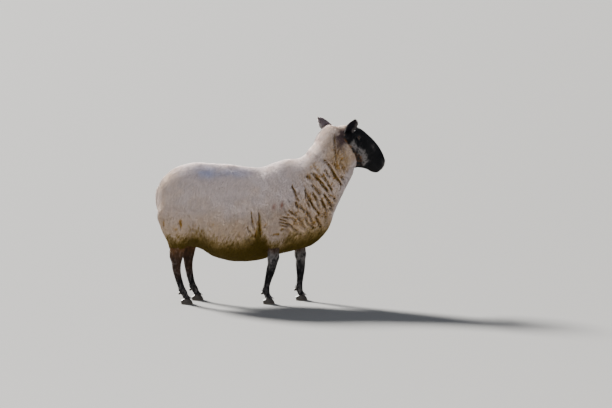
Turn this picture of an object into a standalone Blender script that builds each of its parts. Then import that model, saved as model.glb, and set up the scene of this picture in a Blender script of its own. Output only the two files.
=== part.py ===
"""A standing ewe with a woolly body and a dark, speckled face, life size.

Units are metres. The ewe faces +X, +Y is her left side and +Z is up. The origin is on the floor,
under the middle of her bounding box. Her head is carried high and turned to her left.

Trunk, neck and head are one long loft through named cross sections, parted by flat cuts. Each
section lies in a plane through a top point and a bottom point of the side outline. Legs are lofts
through level sections around a leg line. Every solid reaches out to the tips of the wool or hair.
"""
import math

import bmesh
import bpy
import numpy as np

# ---- driving dimensions
CUT_GAP = 0.0003  # clearance between neighbouring pieces
STATION_GAP = 0.0008  # distance along the long loft that parts trunk, neck and head
CORNER_LEVEL = 0.28  # height of a section's upper and lower corners, as a share of the way to its widest level
HEAD_ORIGIN = (0.379, 0.035, 0.885)  # top of the poll, where the head's own frame starts
HEAD_PITCH = 37.0  # degrees that the face points below level
HEAD_YAW = 35.0  # degrees that the face turns to the ewe's left
EYE_AT = (0.057, 0.0622, -0.033)  # eyeball centre in the head's frame: forward, out, up
EYE_RADIUS = 0.0145
ORBIT_AT = (0.057, 0.1007, -0.033)  # middle of the ball that hollows the head around an eye
ORBIT_RADIUS = 0.0300
# the ears by side, left 1 and right -1: middle of the root and tip in the head's frame
EAR_ROOTS = {1: (0.016, 0.056, -0.046), -1: (0.001, -0.061, -0.058)}
EAR_TIPS = {1: (-0.070, 0.162, -0.006), -1: (-0.071, -0.161, -0.006)}
EAR_OPENINGS = {1: (0.78, 0.55, 0.25), -1: (0.45, -0.45, -0.65)}  # way that the cups face
EAR_WIDTHS = {1: 0.047, -1: 0.055}
# width share at the root, swell beyond it, power of the narrowing to the tip
EAR_LEAVES = {1: (0.62, 1.30, 3.8), -1: (0.74, 1.08, 3.8)}
EAR_START = -0.10  # the ear starts inside the head, as a share of its length
EAR_CURL = 85.0  # half angle of the cup at the root, in degrees
EAR_UNCURL = 0.72  # share of the curl that is gone at the tip
EAR_BOWS = {1: 0.008, -1: 0.0}  # how far the middle line of the left and right ear bows down
EAR_THICKNESS = 0.005
EAR_THICK_SHARES = (1.25, 0.50)  # thickness at the root and at the tip
CLAW_LENGTH = 0.058
CLAW_WIDTH = 0.0215
CLAW_HEIGHT = 0.031
CLAW_SPREAD = 0.0128  # from the leg's middle line to a claw's middle line
CLAW_TOE_TAPER = 0.38  # share of its width that a claw loses at the toe
CLAW_RINGS = ((0.0, 0.0, 1.0), (0.45, -0.0035, 0.96), (1.0, -0.011, 0.72))  # height share, lean, length share
DEWCLAW_RADIUS = 0.0085
DEWCLAW_AT = (-0.019, 0.0115, 0.056)  # forward of the fetlock, out from the leg's middle, height
TAIL_ROOT = (-0.548, 0.585)  # x and z of the top of the tail
TAIL_LENGTH = 0.125
TAIL_DEPTH = 0.040
TAIL_WIDTH = 0.060
TAIL_BOW = 0.006

# ---- cross sections of trunk and neck, from the rump to the back of the head
# top x, top z, bottom x, bottom z, half width, height share of the widest level,
# width share near the top, width share near the bottom, shift of the top and of the bottom point
# to the left, turn in degrees
BODY_SECTIONS = {
    "rump end": (-0.566, 0.525, -0.566, 0.525, 0.000, 0.50, 0.75, 0.75, 0.0, 0.0, 0.0),
    "buttocks": (-0.557, 0.582, -0.560, 0.466, 0.074, 0.50, 0.78, 0.78, 0.0, 0.0, 0.0),
    "pin bones": (-0.540, 0.618, -0.545, 0.405, 0.116, 0.50, 0.78, 0.78, 0.0, 0.0, 0.0),
    "tail head": (-0.512, 0.648, -0.517, 0.350, 0.148, 0.50, 0.78, 0.76, 0.0, 0.0, 0.0),
    "croup": (-0.474, 0.675, -0.474, 0.305, 0.171, 0.47, 0.78, 0.62, 0.0, 0.0, 0.0),
    "hips": (-0.420, 0.693, -0.420, 0.283, 0.186, 0.47, 0.78, 0.60, 0.0, 0.0, 0.0),
    "flank": (-0.362, 0.701, -0.356, 0.272, 0.194, 0.49, 0.77, 0.64, 0.0, 0.0, 0.0),
    "loin": (-0.290, 0.696, -0.288, 0.233, 0.206, 0.53, 0.75, 0.72, 0.0, 0.0, 0.0),
    "barrel": (-0.200, 0.691, -0.200, 0.208, 0.213, 0.55, 0.73, 0.74, 0.0, 0.0, 0.0),
    "mid back": (-0.116, 0.680, -0.118, 0.205, 0.210, 0.55, 0.73, 0.74, 0.0, 0.0, 0.0),
    "girth": (-0.041, 0.679, -0.042, 0.215, 0.200, 0.52, 0.74, 0.68, 0.0, 0.0, 0.0),
    "shoulders": (0.024, 0.700, 0.040, 0.240, 0.190, 0.49, 0.75, 0.56, 0.0, 0.0, 0.0),
    "withers": (0.084, 0.717, 0.134, 0.264, 0.179, 0.47, 0.76, 0.50, 0.0, 0.0, 0.0),
    "brisket": (0.134, 0.722, 0.216, 0.292, 0.166, 0.46, 0.78, 0.54, 0.0, 0.0, 1.0),
    "breast": (0.170, 0.738, 0.289, 0.366, 0.150, 0.47, 0.80, 0.66, 0.001, 0.001, 3.0),
    "neck root": (0.194, 0.760, 0.324, 0.458, 0.136, 0.49, 0.80, 0.76, 0.003, 0.005, 6.0),
    "low neck": (0.219, 0.792, 0.355, 0.530, 0.126, 0.49, 0.80, 0.78, 0.006, 0.012, 11.0),
    "mid neck": (0.244, 0.838, 0.376, 0.580, 0.119, 0.49, 0.80, 0.78, 0.010, 0.023, 18.0),
    "high neck": (0.272, 0.868, 0.386, 0.610, 0.113, 0.48, 0.80, 0.76, 0.013, 0.034, 26.0),
    "nape": (0.304, 0.885, 0.393, 0.636, 0.105, 0.46, 0.80, 0.72, 0.014, 0.044, 32.0),
}
TRUNK_END = "breast"  # the neck starts at this section
NECK_END = "poll"  # the head starts at this section

# ---- cross sections of the head in its own frame, from the poll to the muzzle
# top forward, top up, bottom forward, bottom up, half width, height share of the widest level,
# width share near the top, width share near the bottom
HEAD_SECTIONS = {
    "poll": (-0.042, -0.037, 0.150, -0.165, 0.098, 0.45, 0.80, 0.70),
    "ears": (-0.004, -0.002, 0.160, -0.152, 0.085, 0.44, 0.80, 0.70),
    "forehead": (0.030, 0.021, 0.174, -0.139, 0.077, 0.42, 0.80, 0.70),
    "brows": (0.062, 0.032, 0.188, -0.127, 0.073, 0.41, 0.80, 0.70),
    "eyes": (0.092, 0.036, 0.202, -0.119, 0.067, 0.42, 0.76, 0.70),
    "cheeks": (0.123, 0.038, 0.215, -0.112, 0.060, 0.45, 0.72, 0.72),
    "nose root": (0.155, 0.039, 0.229, -0.106, 0.053, 0.48, 0.70, 0.76),
    "nose bridge": (0.189, 0.037, 0.243, -0.101, 0.046, 0.50, 0.70, 0.80),
    "nose": (0.221, 0.032, 0.256, -0.098, 0.041, 0.52, 0.70, 0.80),
    "mouth": (0.250, 0.023, 0.268, -0.096, 0.038, 0.52, 0.72, 0.80),
    "nostrils": (0.275, 0.012, 0.280, -0.092, 0.035, 0.50, 0.74, 0.78),
    "lips": (0.297, -0.003, 0.295, -0.082, 0.028, 0.48, 0.76, 0.76),
    "muzzle": (0.309, -0.019, 0.306, -0.064, 0.018, 0.48, 0.78, 0.78),
    "muzzle end": (0.312, -0.041, 0.312, -0.041, 0.000, 0.50, 0.75, 0.75),
}

# ---- legs: level sections (height, half depth along the body, half width)
FORE_GIRTHS = {
    "blade": (0.560, 0.0, 0.0),
    "shoulder": (0.520, 0.070, 0.042),
    "arm": (0.450, 0.084, 0.062),
    "elbow": (0.380, 0.072, 0.060),
    "forearm": (0.330, 0.050, 0.048),
    "cuff": (0.294, 0.036, 0.034),
    "above knee": (0.264, 0.0305, 0.029),
    "knee": (0.232, 0.0300, 0.028),
    "under knee": (0.200, 0.0255, 0.0245),
    "cannon": (0.165, 0.0230, 0.0205),
    "shin": (0.120, 0.0178, 0.0170),
    "above fetlock": (0.086, 0.0165, 0.0165),
    "fetlock": (0.062, 0.0210, 0.0205),
    "pastern": (0.045, 0.0195, 0.0190),
    "coronet": (0.0315, 0.0225, 0.0225),
}
HIND_GIRTHS = {
    "hip": (0.565, 0.0, 0.0),
    "rump": (0.525, 0.085, 0.050),
    "thigh": (0.450, 0.106, 0.068),
    "stifle": (0.395, 0.092, 0.067),
    "gaskin": (0.350, 0.072, 0.056),
    "lower gaskin": (0.313, 0.053, 0.044),
    "cuff": (0.282, 0.043, 0.034),
    "above hock": (0.258, 0.037, 0.028),
    "hock": (0.235, 0.034, 0.0255),
    "under hock": (0.205, 0.0265, 0.0225),
    "cannon": (0.165, 0.0205, 0.0195),
    "shin": (0.120, 0.0180, 0.0170),
    "above fetlock": (0.086, 0.0175, 0.0170),
    "fetlock": (0.062, 0.0215, 0.0205),
    "pastern": (0.045, 0.0200, 0.0190),
    "coronet": (0.0315, 0.0225, 0.0225),
}
CUFF = "cuff"  # the woolly upper leg ends here

# ---- leg lines: height, x and y of the middle of the leg
LEG_LINES = {
    "fore_right": (
        (0.560, 0.050, -0.095), (0.450, 0.035, -0.117), (0.330, 0.021, -0.110),
        (0.232, 0.016, -0.100), (0.165, 0.003, -0.097), (0.086, -0.018, -0.095),
        (0.062, -0.022, -0.095), (0.045, -0.014, -0.095), (0.0315, -0.005, -0.095),
    ),
    "fore_left": (
        (0.560, 0.145, 0.085), (0.450, 0.145, 0.108), (0.330, 0.151, 0.106),
        (0.232, 0.150, 0.098), (0.165, 0.151, 0.097), (0.086, 0.146, 0.096),
        (0.062, 0.142, 0.096), (0.045, 0.149, 0.096), (0.0315, 0.158, 0.096),
    ),
    "hind_right": (
        (0.565, -0.440, -0.090), (0.450, -0.451, -0.108), (0.350, -0.459, -0.110),
        (0.282, -0.460, -0.106), (0.235, -0.467, -0.104), (0.165, -0.464, -0.103),
        (0.086, -0.442, -0.102), (0.062, -0.433, -0.102), (0.045, -0.423, -0.102),
        (0.0315, -0.413, -0.102),
    ),
    "hind_left": (
        (0.565, -0.435, 0.090), (0.450, -0.436, 0.108), (0.350, -0.424, 0.110),
        (0.282, -0.412, 0.105), (0.235, -0.416, 0.104), (0.165, -0.412, 0.103),
        (0.086, -0.395, 0.102), (0.062, -0.386, 0.102), (0.045, -0.376, 0.102),
        (0.0315, -0.366, 0.102),
    ),
}

# ---- number of facets: rings along, points around
FACETS = {
    "trunk": (26, 26),
    "neck": (11, 26),
    "head": (24, 28),
    "upper_leg": (11, 14),
    "lower_leg": (16, 12),
    "ear": (10, 14),
    "tail": (7, 10),
    "claw": 12,
}

# ---- colours: base colour, roughness
FINISHES = {
    "fleece": ((0.58, 0.52, 0.45), 0.95),
    "face hair": ((0.020, 0.018, 0.020), 0.70),
    "leg hair": ((0.050, 0.045, 0.040), 0.75),
    "eye": ((0.20, 0.11, 0.04), 0.10),
    "horn": ((0.070, 0.055, 0.045), 0.45),
}


# ---- curves
def hermite_matrix(keys, at):
    """Weights that carry values at the keys to a smooth cubic curve at the given places.

    Each key's slope is the slope between its two neighbours, as in a Catmull-Rom curve.
    """
    keys = np.asarray(keys, float)
    slopes = np.gradient(np.eye(len(keys)), keys, axis=0)
    left = np.clip(np.searchsorted(keys, at, side="right") - 1, 0, len(keys) - 2)
    span = keys[left + 1] - keys[left]
    t = ((at - keys[left]) / span)[:, None]
    span = span[:, None]
    values = np.eye(len(keys))
    return (
        (2 * t**3 - 3 * t**2 + 1) * values[left]
        + (t**3 - 2 * t**2 + t) * span * slopes[left]
        + (3 * t**2 - 2 * t**3) * values[left + 1]
        + (t**3 - t**2) * span * slopes[left + 1]
    )


def ring_matrix(corners, count):
    """Weights that carry the corners of a closed ring to a smooth closed curve of count points."""
    wrapped = np.concatenate([np.arange(corners - 3, corners), np.arange(corners), [0, 1, 2]])
    keys = np.arange(-3, corners + 3)
    weights = hermite_matrix(keys, np.arange(count) * corners / count)
    folded = np.zeros((count, corners))
    for column, corner in enumerate(wrapped):
        folded[:, corner] += weights[:, column]
    return folded


def path_keys(*edges):
    """Distance along a loft, as the mean of the distances along its edges."""
    steps = sum(np.linalg.norm(np.diff(edge, axis=0), axis=1) for edge in edges)
    return np.concatenate([[0.0], np.cumsum(steps / len(edges))])


# ---- the head's frame
def head_axes():
    """Unit vectors of the head's frame: forward along the face, to the ewe's left, and up."""
    pitch = math.radians(HEAD_PITCH)
    yaw = math.radians(HEAD_YAW)
    forward = (math.cos(pitch) * math.cos(yaw), math.cos(pitch) * math.sin(yaw), -math.sin(pitch))
    left = (-math.sin(yaw), math.cos(yaw), 0.0)
    return np.array([forward, left, np.cross(forward, left)])


def from_head(points):
    """Points in the head's frame as points of the whole ewe."""
    return np.asarray(points, float) @ head_axes() + np.array(HEAD_ORIGIN)


# ---- the long loft of trunk, neck and head
def eight_corners(top, bottom, left, half_width, widest, high_share, low_share):
    """Ring of eight corners: top, three down the left side, bottom and three up the right side."""
    down = bottom - top
    high_level = CORNER_LEVEL * widest
    low_level = 1 - CORNER_LEVEL * (1 - widest)
    shares = ((high_level, high_share), (widest, 1.0), (low_level, low_share))
    side = [(top + down * height, left * half_width * share) for height, share in shares]
    ring = [top, *(level + out for level, out in side), bottom]
    ring += [level - out for level, out in reversed(side)]
    return ring


def spine_rings():
    """Names, corner rings and distances of every cross section from rump to muzzle."""
    names, rings, tops, bottoms = [], [], [], []
    for name, row in BODY_SECTIONS.items():
        top_x, top_z, bottom_x, bottom_z, half_width, widest, high, low = row[:8]
        turn = math.radians(row[10])
        top = np.array([top_x, row[8], top_z])
        bottom = np.array([bottom_x, row[9], bottom_z])
        left = np.array([-math.sin(turn), math.cos(turn), 0.0])
        names.append(name)
        rings.append(eight_corners(top, bottom, left, half_width, widest, high, low))
        tops.append(top)
        bottoms.append(bottom)
    for name, row in HEAD_SECTIONS.items():
        top_f, top_u, bottom_f, bottom_u, half_width, widest, high, low = row
        top = from_head((top_f, 0.0, top_u))
        bottom = from_head((bottom_f, 0.0, bottom_u))
        names.append(name)
        rings.append(eight_corners(top, bottom, head_axes()[1], half_width, widest, high, low))
        tops.append(top)
        bottoms.append(bottom)
    return names, np.array(rings), path_keys(tops, bottoms)


def spine_grid(first, last, rows, around, gap=0.0):
    """Grid of points of the long loft between two named sections, with a gap at the first one."""
    names, rings, keys = spine_rings()
    start = keys[names.index(first)] + gap
    end = keys[names.index(last)]
    along = hermite_matrix(keys, np.linspace(start, end, rows))
    return np.einsum("rs,ac,scx->rax", along, ring_matrix(rings.shape[1], around), rings)


# ---- legs
def leg_grid(name, first, last, rows, around, margin=0.0):
    """Grid of points of a leg between two named levels, widened by the margin."""
    girths = FORE_GIRTHS if name.startswith("fore") else HIND_GIRTHS
    levels = np.array(list(girths.values()))
    names = list(girths)
    line = np.array(LEG_LINES[name])
    heights = levels[:, 0]
    middles = hermite_matrix(-line[:, 0], -heights) @ line[:, 1:]
    keys = path_keys(np.column_stack([middles[:, 0] + levels[:, 1], heights]),
                     np.column_stack([middles[:, 0] - levels[:, 1], heights]))
    table = np.column_stack([middles, levels])
    at = np.linspace(keys[names.index(first)], keys[names.index(last)], rows)
    x, y, z, depth, width = (hermite_matrix(keys, at) @ table).T[:, :, None]
    angle = np.linspace(0.0, 2 * math.pi, around, endpoint=False)[None, :]
    grown = np.where(depth > 0.001, margin, 0.0)
    return np.stack([
        x + (depth + grown) * np.cos(angle),
        y + (width + grown) * np.sin(angle),
        z + np.where(depth > 0.001, 0.0, 2 * margin) + 0.0 * angle,
    ], axis=2)


# ---- meshes
def solid_from_grid(name, grid):
    """Closed mesh from a grid of rings. A ring with no size is a single point, others get a flat cap."""
    rows, around = grid.shape[:2]
    mesh = bmesh.new()
    rings = []
    for row in grid:
        if np.ptp(row, axis=0).max() < 1e-4:
            rings.append([mesh.verts.new(row.mean(axis=0))] * around)
        else:
            rings.append([mesh.verts.new(point) for point in row])
    for lower, upper in zip(rings, rings[1:]):
        for i in range(around):
            j = (i + 1) % around
            for corners in ((lower[i], lower[j], upper[j]), (lower[i], upper[j], upper[i])):
                if len(set(corners)) == 3:
                    mesh.faces.new(corners)
    for ring in (rings[0], rings[-1]):
        if ring[0] is not ring[1]:
            mesh.faces.new(ring)
    bmesh.ops.recalc_face_normals(mesh, faces=mesh.faces)
    data = bpy.data.meshes.new(name)
    mesh.to_mesh(data)
    mesh.free()
    piece = bpy.data.objects.new(name, data)
    bpy.context.scene.collection.objects.link(piece)
    return piece


def finish(piece, material):
    """Give a piece its material and smooth shading with sharp rims."""
    piece.data.materials.append(material)
    piece.data.shade_smooth()
    piece.data.set_sharp_from_angle(angle=math.radians(40))
    return piece


def make_material(name, colour, roughness):
    """Plain material with one colour."""
    material = bpy.data.materials.new(name)
    material.use_nodes = True
    shader = material.node_tree.nodes["Principled BSDF"]
    shader.inputs["Base Color"].default_value = (*colour, 1.0)
    shader.inputs["Roughness"].default_value = roughness
    return material


def cut(piece, cutter):
    """Cut the cutter's shape out of the piece and hide the cutter."""
    modifier = piece.modifiers.new(f"cut {cutter.name}", "BOOLEAN")
    modifier.operation = "DIFFERENCE"
    modifier.object = cutter
    cutter.hide_render = True
    cutter.display_type = "WIRE"


# ---- small parts
def ear_grid(side, rows, around, margin=0.0):
    """Grid of a cupped leaf-shaped ear. Each ring runs over the back and returns over the front.

    The leaf's width is a + b s - (a + b) s^n along its length s, and each section is an arc.
    """
    root = np.array(EAR_ROOTS[side])
    tip = np.array(EAR_TIPS[side])
    axis = (tip - root) / np.linalg.norm(tip - root)
    opening = np.array(EAR_OPENINGS[side])
    opening -= axis * opening.dot(axis)
    opening /= np.linalg.norm(opening)
    across = np.cross(axis, opening)
    length = np.linalg.norm(tip - root)
    s = np.linspace(EAR_START, 1.0, rows)[:, None]
    s[0] -= margin / length
    share = np.clip(s, 0, 1)
    open_end = np.where(s >= 1.0, 0.0, 1.0)
    root_share, swell, power = EAR_LEAVES[side]
    leaf = root_share + swell * share - (root_share + swell) * share**power
    width = 0.5 * EAR_WIDTHS[side] * np.maximum(leaf, 0.10) * open_end
    curl = math.radians(EAR_CURL) * (1 - EAR_UNCURL * share**0.7)
    turn = np.linspace(-1, 1, around // 2)[None, :]
    root_thick, tip_thick = EAR_THICK_SHARES
    thick = EAR_THICKNESS * (root_thick + (tip_thick - root_thick) * share) * open_end
    radius = width / np.sin(curl)
    spread = curl + np.where(radius > 0, margin / np.maximum(radius, 1e-6), 0.0)
    rings = []
    for offset, order in ((0.5 * thick + margin, 1), (-0.5 * thick - margin, -1)):
        reach = radius + offset
        angle = spread * turn[:, ::order]
        sag = reach * np.cos(angle) - radius * np.cos(curl)
        rings.append(np.stack([reach * np.sin(angle), sag], axis=2))
    profile = np.concatenate(rings, axis=1) * open_end[:, :, None]
    bow = side * EAR_BOWS[side] * np.sin(math.pi * share)[:, :, None]
    points = root + axis * (s * length)[:, :, None] + across * (profile[:, :, :1] + bow)
    return from_head(points - opening * profile[:, :, 1:])


def sphere(name, radius, subdivisions):
    """Faceted ball about its own origin."""
    data = bpy.data.meshes.new(name)
    mesh = bmesh.new()
    bmesh.ops.create_icosphere(mesh, subdivisions=subdivisions, radius=radius)
    mesh.to_mesh(data)
    mesh.free()
    piece = bpy.data.objects.new(name, data)
    bpy.context.scene.collection.objects.link(piece)
    return piece


def claw_grid(x, y, side):
    """Grid of one claw: level rings from the flat sole up to the coronet, narrow at the toe."""
    angle = np.linspace(0.0, 2 * math.pi, FACETS["claw"], endpoint=False)
    forward = np.cos(angle)
    outward = np.sin(angle) * (1 - CLAW_TOE_TAPER * np.clip(forward, 0, 1) ** 2)
    rings = []
    for share, lean, size in CLAW_RINGS:
        rings.append(np.stack([
            x + lean + 0.5 * CLAW_LENGTH * size * forward,
            y + side * CLAW_SPREAD * (1 - 0.12 * share) + 0.5 * CLAW_WIDTH * outward * (1 - 0.1 * share),
            np.full_like(angle, CLAW_HEIGHT * share),
        ], axis=1))
    return np.array(rings)


def tail_grid(rows, around, margin=0.0):
    """Grid of a docked tail: a woolly stub that hangs against the rump."""
    share = np.linspace(0.0, 1.0, rows)[:, None]
    angle = np.linspace(0.0, 2 * math.pi, around, endpoint=False)[None, :]
    fullness = np.sqrt(np.clip(1 - (2 * share - 1) ** 4, 0, 1))
    swell = fullness * (1 + 2 * margin / TAIL_DEPTH)
    x = TAIL_ROOT[0] - TAIL_BOW * np.sin(math.pi * share) + 0.5 * TAIL_DEPTH * swell * np.cos(angle)
    y = 0.5 * TAIL_WIDTH * swell * np.sin(angle)
    z = TAIL_ROOT[1] + margin - (TAIL_LENGTH + 2 * margin) * share + 0.0 * angle
    return np.stack([x, y, z], axis=2)


# ---- building
def build_spine(materials):
    """Trunk, neck and head, parted by flat cuts."""
    trunk = solid_from_grid("trunk", spine_grid("rump end", TRUNK_END, *FACETS["trunk"]))
    neck = solid_from_grid("neck", spine_grid(TRUNK_END, NECK_END, *FACETS["neck"], gap=STATION_GAP))
    head = solid_from_grid("head", spine_grid(NECK_END, "muzzle end", *FACETS["head"], gap=STATION_GAP))
    finish(trunk, materials["fleece"])
    finish(neck, materials["fleece"])
    finish(head, materials["face hair"])
    return trunk, neck, head


def build_legs(trunk, materials):
    """Four legs: a woolly upper leg set into the trunk, a bare lower leg, and the claws."""
    for name in LEG_LINES:
        top = "blade" if name.startswith("fore") else "hip"
        upper = leg_grid(name, top, CUFF, *FACETS["upper_leg"])
        finish(solid_from_grid(f"upper_{name}", upper), materials["fleece"])
        socket = leg_grid(name, top, CUFF, *FACETS["upper_leg"], margin=CUT_GAP)
        cut(trunk, solid_from_grid(f"socket_{name}", socket))
        bed = leg_grid(name, CUFF, "coronet", *FACETS["lower_leg"], margin=CUT_GAP)
        bed[0, :, 2] += CUT_GAP
        cut(trunk, solid_from_grid(f"bed_{name}", bed))
        lower = leg_grid(name, CUFF, "coronet", *FACETS["lower_leg"])
        lower[0, :, 2] -= CUT_GAP
        lower_leg = finish(solid_from_grid(f"lower_{name}", lower), materials["leg hair"])
        build_claws(name, lower_leg, materials["horn"])


def build_claws(name, lower_leg, material):
    """Two claws under a leg and two dewclaws behind its fetlock."""
    foot_x, foot_y = LEG_LINES[name][-1][1:]
    forward, out, height = DEWCLAW_AT
    fetlock_x = LEG_LINES[name][-3][1]
    for side, place in ((1, "left"), (-1, "right")):
        claw = solid_from_grid(f"claw_{name}_{place}", claw_grid(foot_x, foot_y, side))
        finish(claw, material)
        for kind, grown in (("dewclaw", 0.0), ("dewclaw_bed", CUT_GAP)):
            piece = sphere(f"{kind}_{name}_{place}", DEWCLAW_RADIUS + grown, 1)
            piece.location = (fetlock_x + forward, foot_y + side * out, height)
            if kind == "dewclaw":
                finish(piece, material)
            else:
                cut(lower_leg, piece)


def build_ears_and_eyes(neck, head, materials):
    """Ears set into head and neck, and eyeballs in their sockets."""
    for side, place in ((1, "left"), (-1, "right")):
        finish(solid_from_grid(f"ear_{place}", ear_grid(side, *FACETS["ear"])), materials["face hair"])
        bed = solid_from_grid(f"bed_ear_{place}", ear_grid(side, *FACETS["ear"], margin=CUT_GAP))
        cut(head, bed)
        cut(neck, bed)
        eye = sphere(f"eye_{place}", EYE_RADIUS, 2)
        eye.location = from_head(np.array(EYE_AT) * (1, side, 1))
        finish(eye, materials["eye"])
        orbit = sphere(f"orbit_{place}", ORBIT_RADIUS, 3)
        orbit.location = from_head(np.array(ORBIT_AT) * (1, side, 1))
        cut(head, orbit)
        socket = sphere(f"socket_eye_{place}", EYE_RADIUS + CUT_GAP, 2)
        socket.location = eye.location
        cut(head, socket)


def build_tail(trunk, materials):
    """Docked tail against the rump."""
    finish(solid_from_grid("tail", tail_grid(*FACETS["tail"])), materials["fleece"])
    cut(trunk, solid_from_grid("bed_tail", tail_grid(*FACETS["tail"], margin=CUT_GAP)))


def main():
    """Clear the scene and build the ewe."""
    for old in list(bpy.data.objects):
        bpy.data.objects.remove(old)
    materials = {name: make_material(name, *finish_row) for name, finish_row in FINISHES.items()}
    trunk, neck, head = build_spine(materials)
    build_legs(trunk, materials)
    build_ears_and_eyes(neck, head, materials)
    build_tail(trunk, materials)


main()
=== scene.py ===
import itertools
import math

import bpy
import numpy as np
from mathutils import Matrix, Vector
from mathutils.bvhtree import BVHTree


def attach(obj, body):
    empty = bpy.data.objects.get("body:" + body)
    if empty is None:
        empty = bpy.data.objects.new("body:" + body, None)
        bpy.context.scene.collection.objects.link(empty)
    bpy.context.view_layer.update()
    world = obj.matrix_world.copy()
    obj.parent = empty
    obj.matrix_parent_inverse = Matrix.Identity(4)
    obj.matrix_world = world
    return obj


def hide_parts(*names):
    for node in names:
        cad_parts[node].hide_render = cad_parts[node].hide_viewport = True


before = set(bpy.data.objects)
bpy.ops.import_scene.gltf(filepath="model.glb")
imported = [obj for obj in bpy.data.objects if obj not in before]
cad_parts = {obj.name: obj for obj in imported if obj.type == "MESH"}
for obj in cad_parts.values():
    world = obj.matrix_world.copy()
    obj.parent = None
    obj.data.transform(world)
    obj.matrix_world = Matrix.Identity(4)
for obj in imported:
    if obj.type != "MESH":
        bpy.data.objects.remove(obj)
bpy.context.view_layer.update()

# A ewe in short wool, life size, in metres: +X is forward, +Y is her left side, +Z is up.
# One skin carries the head, trunk and legs. Wool locks and short hair stand on it and reach out
# to the solids of the frame.


def smoothStep(low, high, value):
    # 0 at low, 1 at high, and 3t^2 - 2t^3 between; low may be the larger of the two
    t = np.clip((np.asarray(value, float) - low) / (high - low), 0.0, 1.0)
    return t * t * (3.0 - 2.0 * t)


def bump(value, centre, width):
    # bell curve exp(-((v - c) / w)^2)
    return np.exp(-(((value - centre) / width) ** 2))


def curveWeights(keys, at):
    # weights of a cubic curve through values at the keys; each slope is the one between the neighbours
    keys = np.asarray(keys, float)
    at = np.asarray(at, float)
    slopes = np.gradient(np.eye(len(keys)), keys, axis=0)
    left = np.clip(np.searchsorted(keys, at, side="right") - 1, 0, len(keys) - 2)
    span = keys[left + 1] - keys[left]
    t = ((at - keys[left]) / span)[:, None]
    span = span[:, None]
    values = np.eye(len(keys))
    return ((2 * t**3 - 3 * t**2 + 1) * values[left] + (t**3 - 2 * t**2 + t) * span * slopes[left]
            + (3 * t**2 - 2 * t**3) * values[left + 1] + (t**3 - t**2) * span * slopes[left + 1])


def ringWeights(corners, at):
    # the same curve closed into a ring through its corners
    wrapped = np.concatenate([np.arange(corners - 3, corners), np.arange(corners), [0, 1, 2]])
    weights = curveWeights(np.arange(-3, corners + 3), at)
    folded = np.zeros((len(at), corners))
    for column, corner in enumerate(wrapped):
        folded[:, corner] += weights[:, column]
    return folded


def pathKeys(*edges):
    # distance along a loft, as the mean of the distances along its edges
    steps = sum(np.linalg.norm(np.diff(edge, axis=0), axis=1) for edge in edges)
    return np.concatenate([[0.0], np.cumsum(steps / len(edges))])


def hashValues(cells, seed):
    # one value from -1 to 1 for each cell of a lattice, from its whole-number place
    mixed = cells @ np.array((374761393, 668265263, 1440662683)) + seed * 982451653
    mixed = (mixed ^ (mixed >> 13)) * 1274126177
    mixed = mixed ^ (mixed >> 16)
    return (mixed & 0xFFFFFF) / float(0xFFFFFF) * 2.0 - 1.0


def softNoise(points, size, seed):
    # smooth noise from -1 to 1: lattice values blended with 3t^2 - 2t^3 in each direction
    scaled = np.asarray(points, float) / size + seed * 17.31
    cell = np.floor(scaled).astype(np.int64)
    part = scaled - cell
    part = part * part * (3.0 - 2.0 * part)
    total = np.zeros(scaled.shape[:-1])
    for corner in itertools.product((0, 1), repeat=3):
        weight = np.prod(np.where(corner, part, 1.0 - part), axis=-1)
        total += weight * hashValues(cell + corner, seed)
    return total


def ringAngles(count):
    # angles at equal steps once round
    return np.linspace(0.0, 2 * math.pi, count, endpoint=False)


def unit(vectors):
    return vectors / np.maximum(np.linalg.norm(vectors, axis=-1, keepdims=True), 1e-9)


def addPiece(name, data):
    # an object at the origin that holds this mesh, light or camera
    piece = bpy.data.objects.new(name, data)
    bpy.context.scene.collection.objects.link(piece)
    return piece


def storeVector(mesh, name, values):
    # one vector for each point of the mesh
    layer = mesh.attributes.new(name, "FLOAT_VECTOR", "POINT")
    layer.data.foreach_set("vector", values.astype(np.float32).ravel())


def lineDistance(points, line):
    # distance to a polyline, the share along it, and the unit vector away from it
    line = np.asarray(line, float)
    best = np.full(len(points), 1e9)
    share = np.zeros(len(points))
    away = np.zeros_like(points)
    for index, (a, b) in enumerate(zip(line[:-1], line[1:])):
        t = np.clip((points - a) @ (b - a) / ((b - a) @ (b - a)), 0.0, 1.0)
        offset = points - a - t[:, None] * (b - a)
        distance = np.linalg.norm(offset, axis=1)
        nearer = distance < best
        best = np.where(nearer, distance, best)
        share = np.where(nearer, (index + t) / (len(line) - 1), share)
        away = np.where(nearer[:, None], offset, away)
    return best, share, unit(away)


headPose = {"origin": (0.379, 0.035, 0.885), "pitch": 37.0, "yaw": 35.0}


def headAxes():
    # unit vectors forward along the face, to the ewe's left, and up
    pitch, yaw = math.radians(headPose["pitch"]), math.radians(headPose["yaw"])
    forward = (math.cos(pitch) * math.cos(yaw), math.cos(pitch) * math.sin(yaw), -math.sin(pitch))
    left = (-math.sin(yaw), math.cos(yaw), 0.0)
    return np.array([forward, left, np.cross(forward, left)])


def fromHead(points):
    # from the head's frame into the ewe's
    return np.asarray(points, float) @ headAxes() + np.array(headPose["origin"])


def toHead(points):
    # the reverse of fromHead
    return (np.asarray(points, float) - np.array(headPose["origin"])) @ headAxes().T


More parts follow.
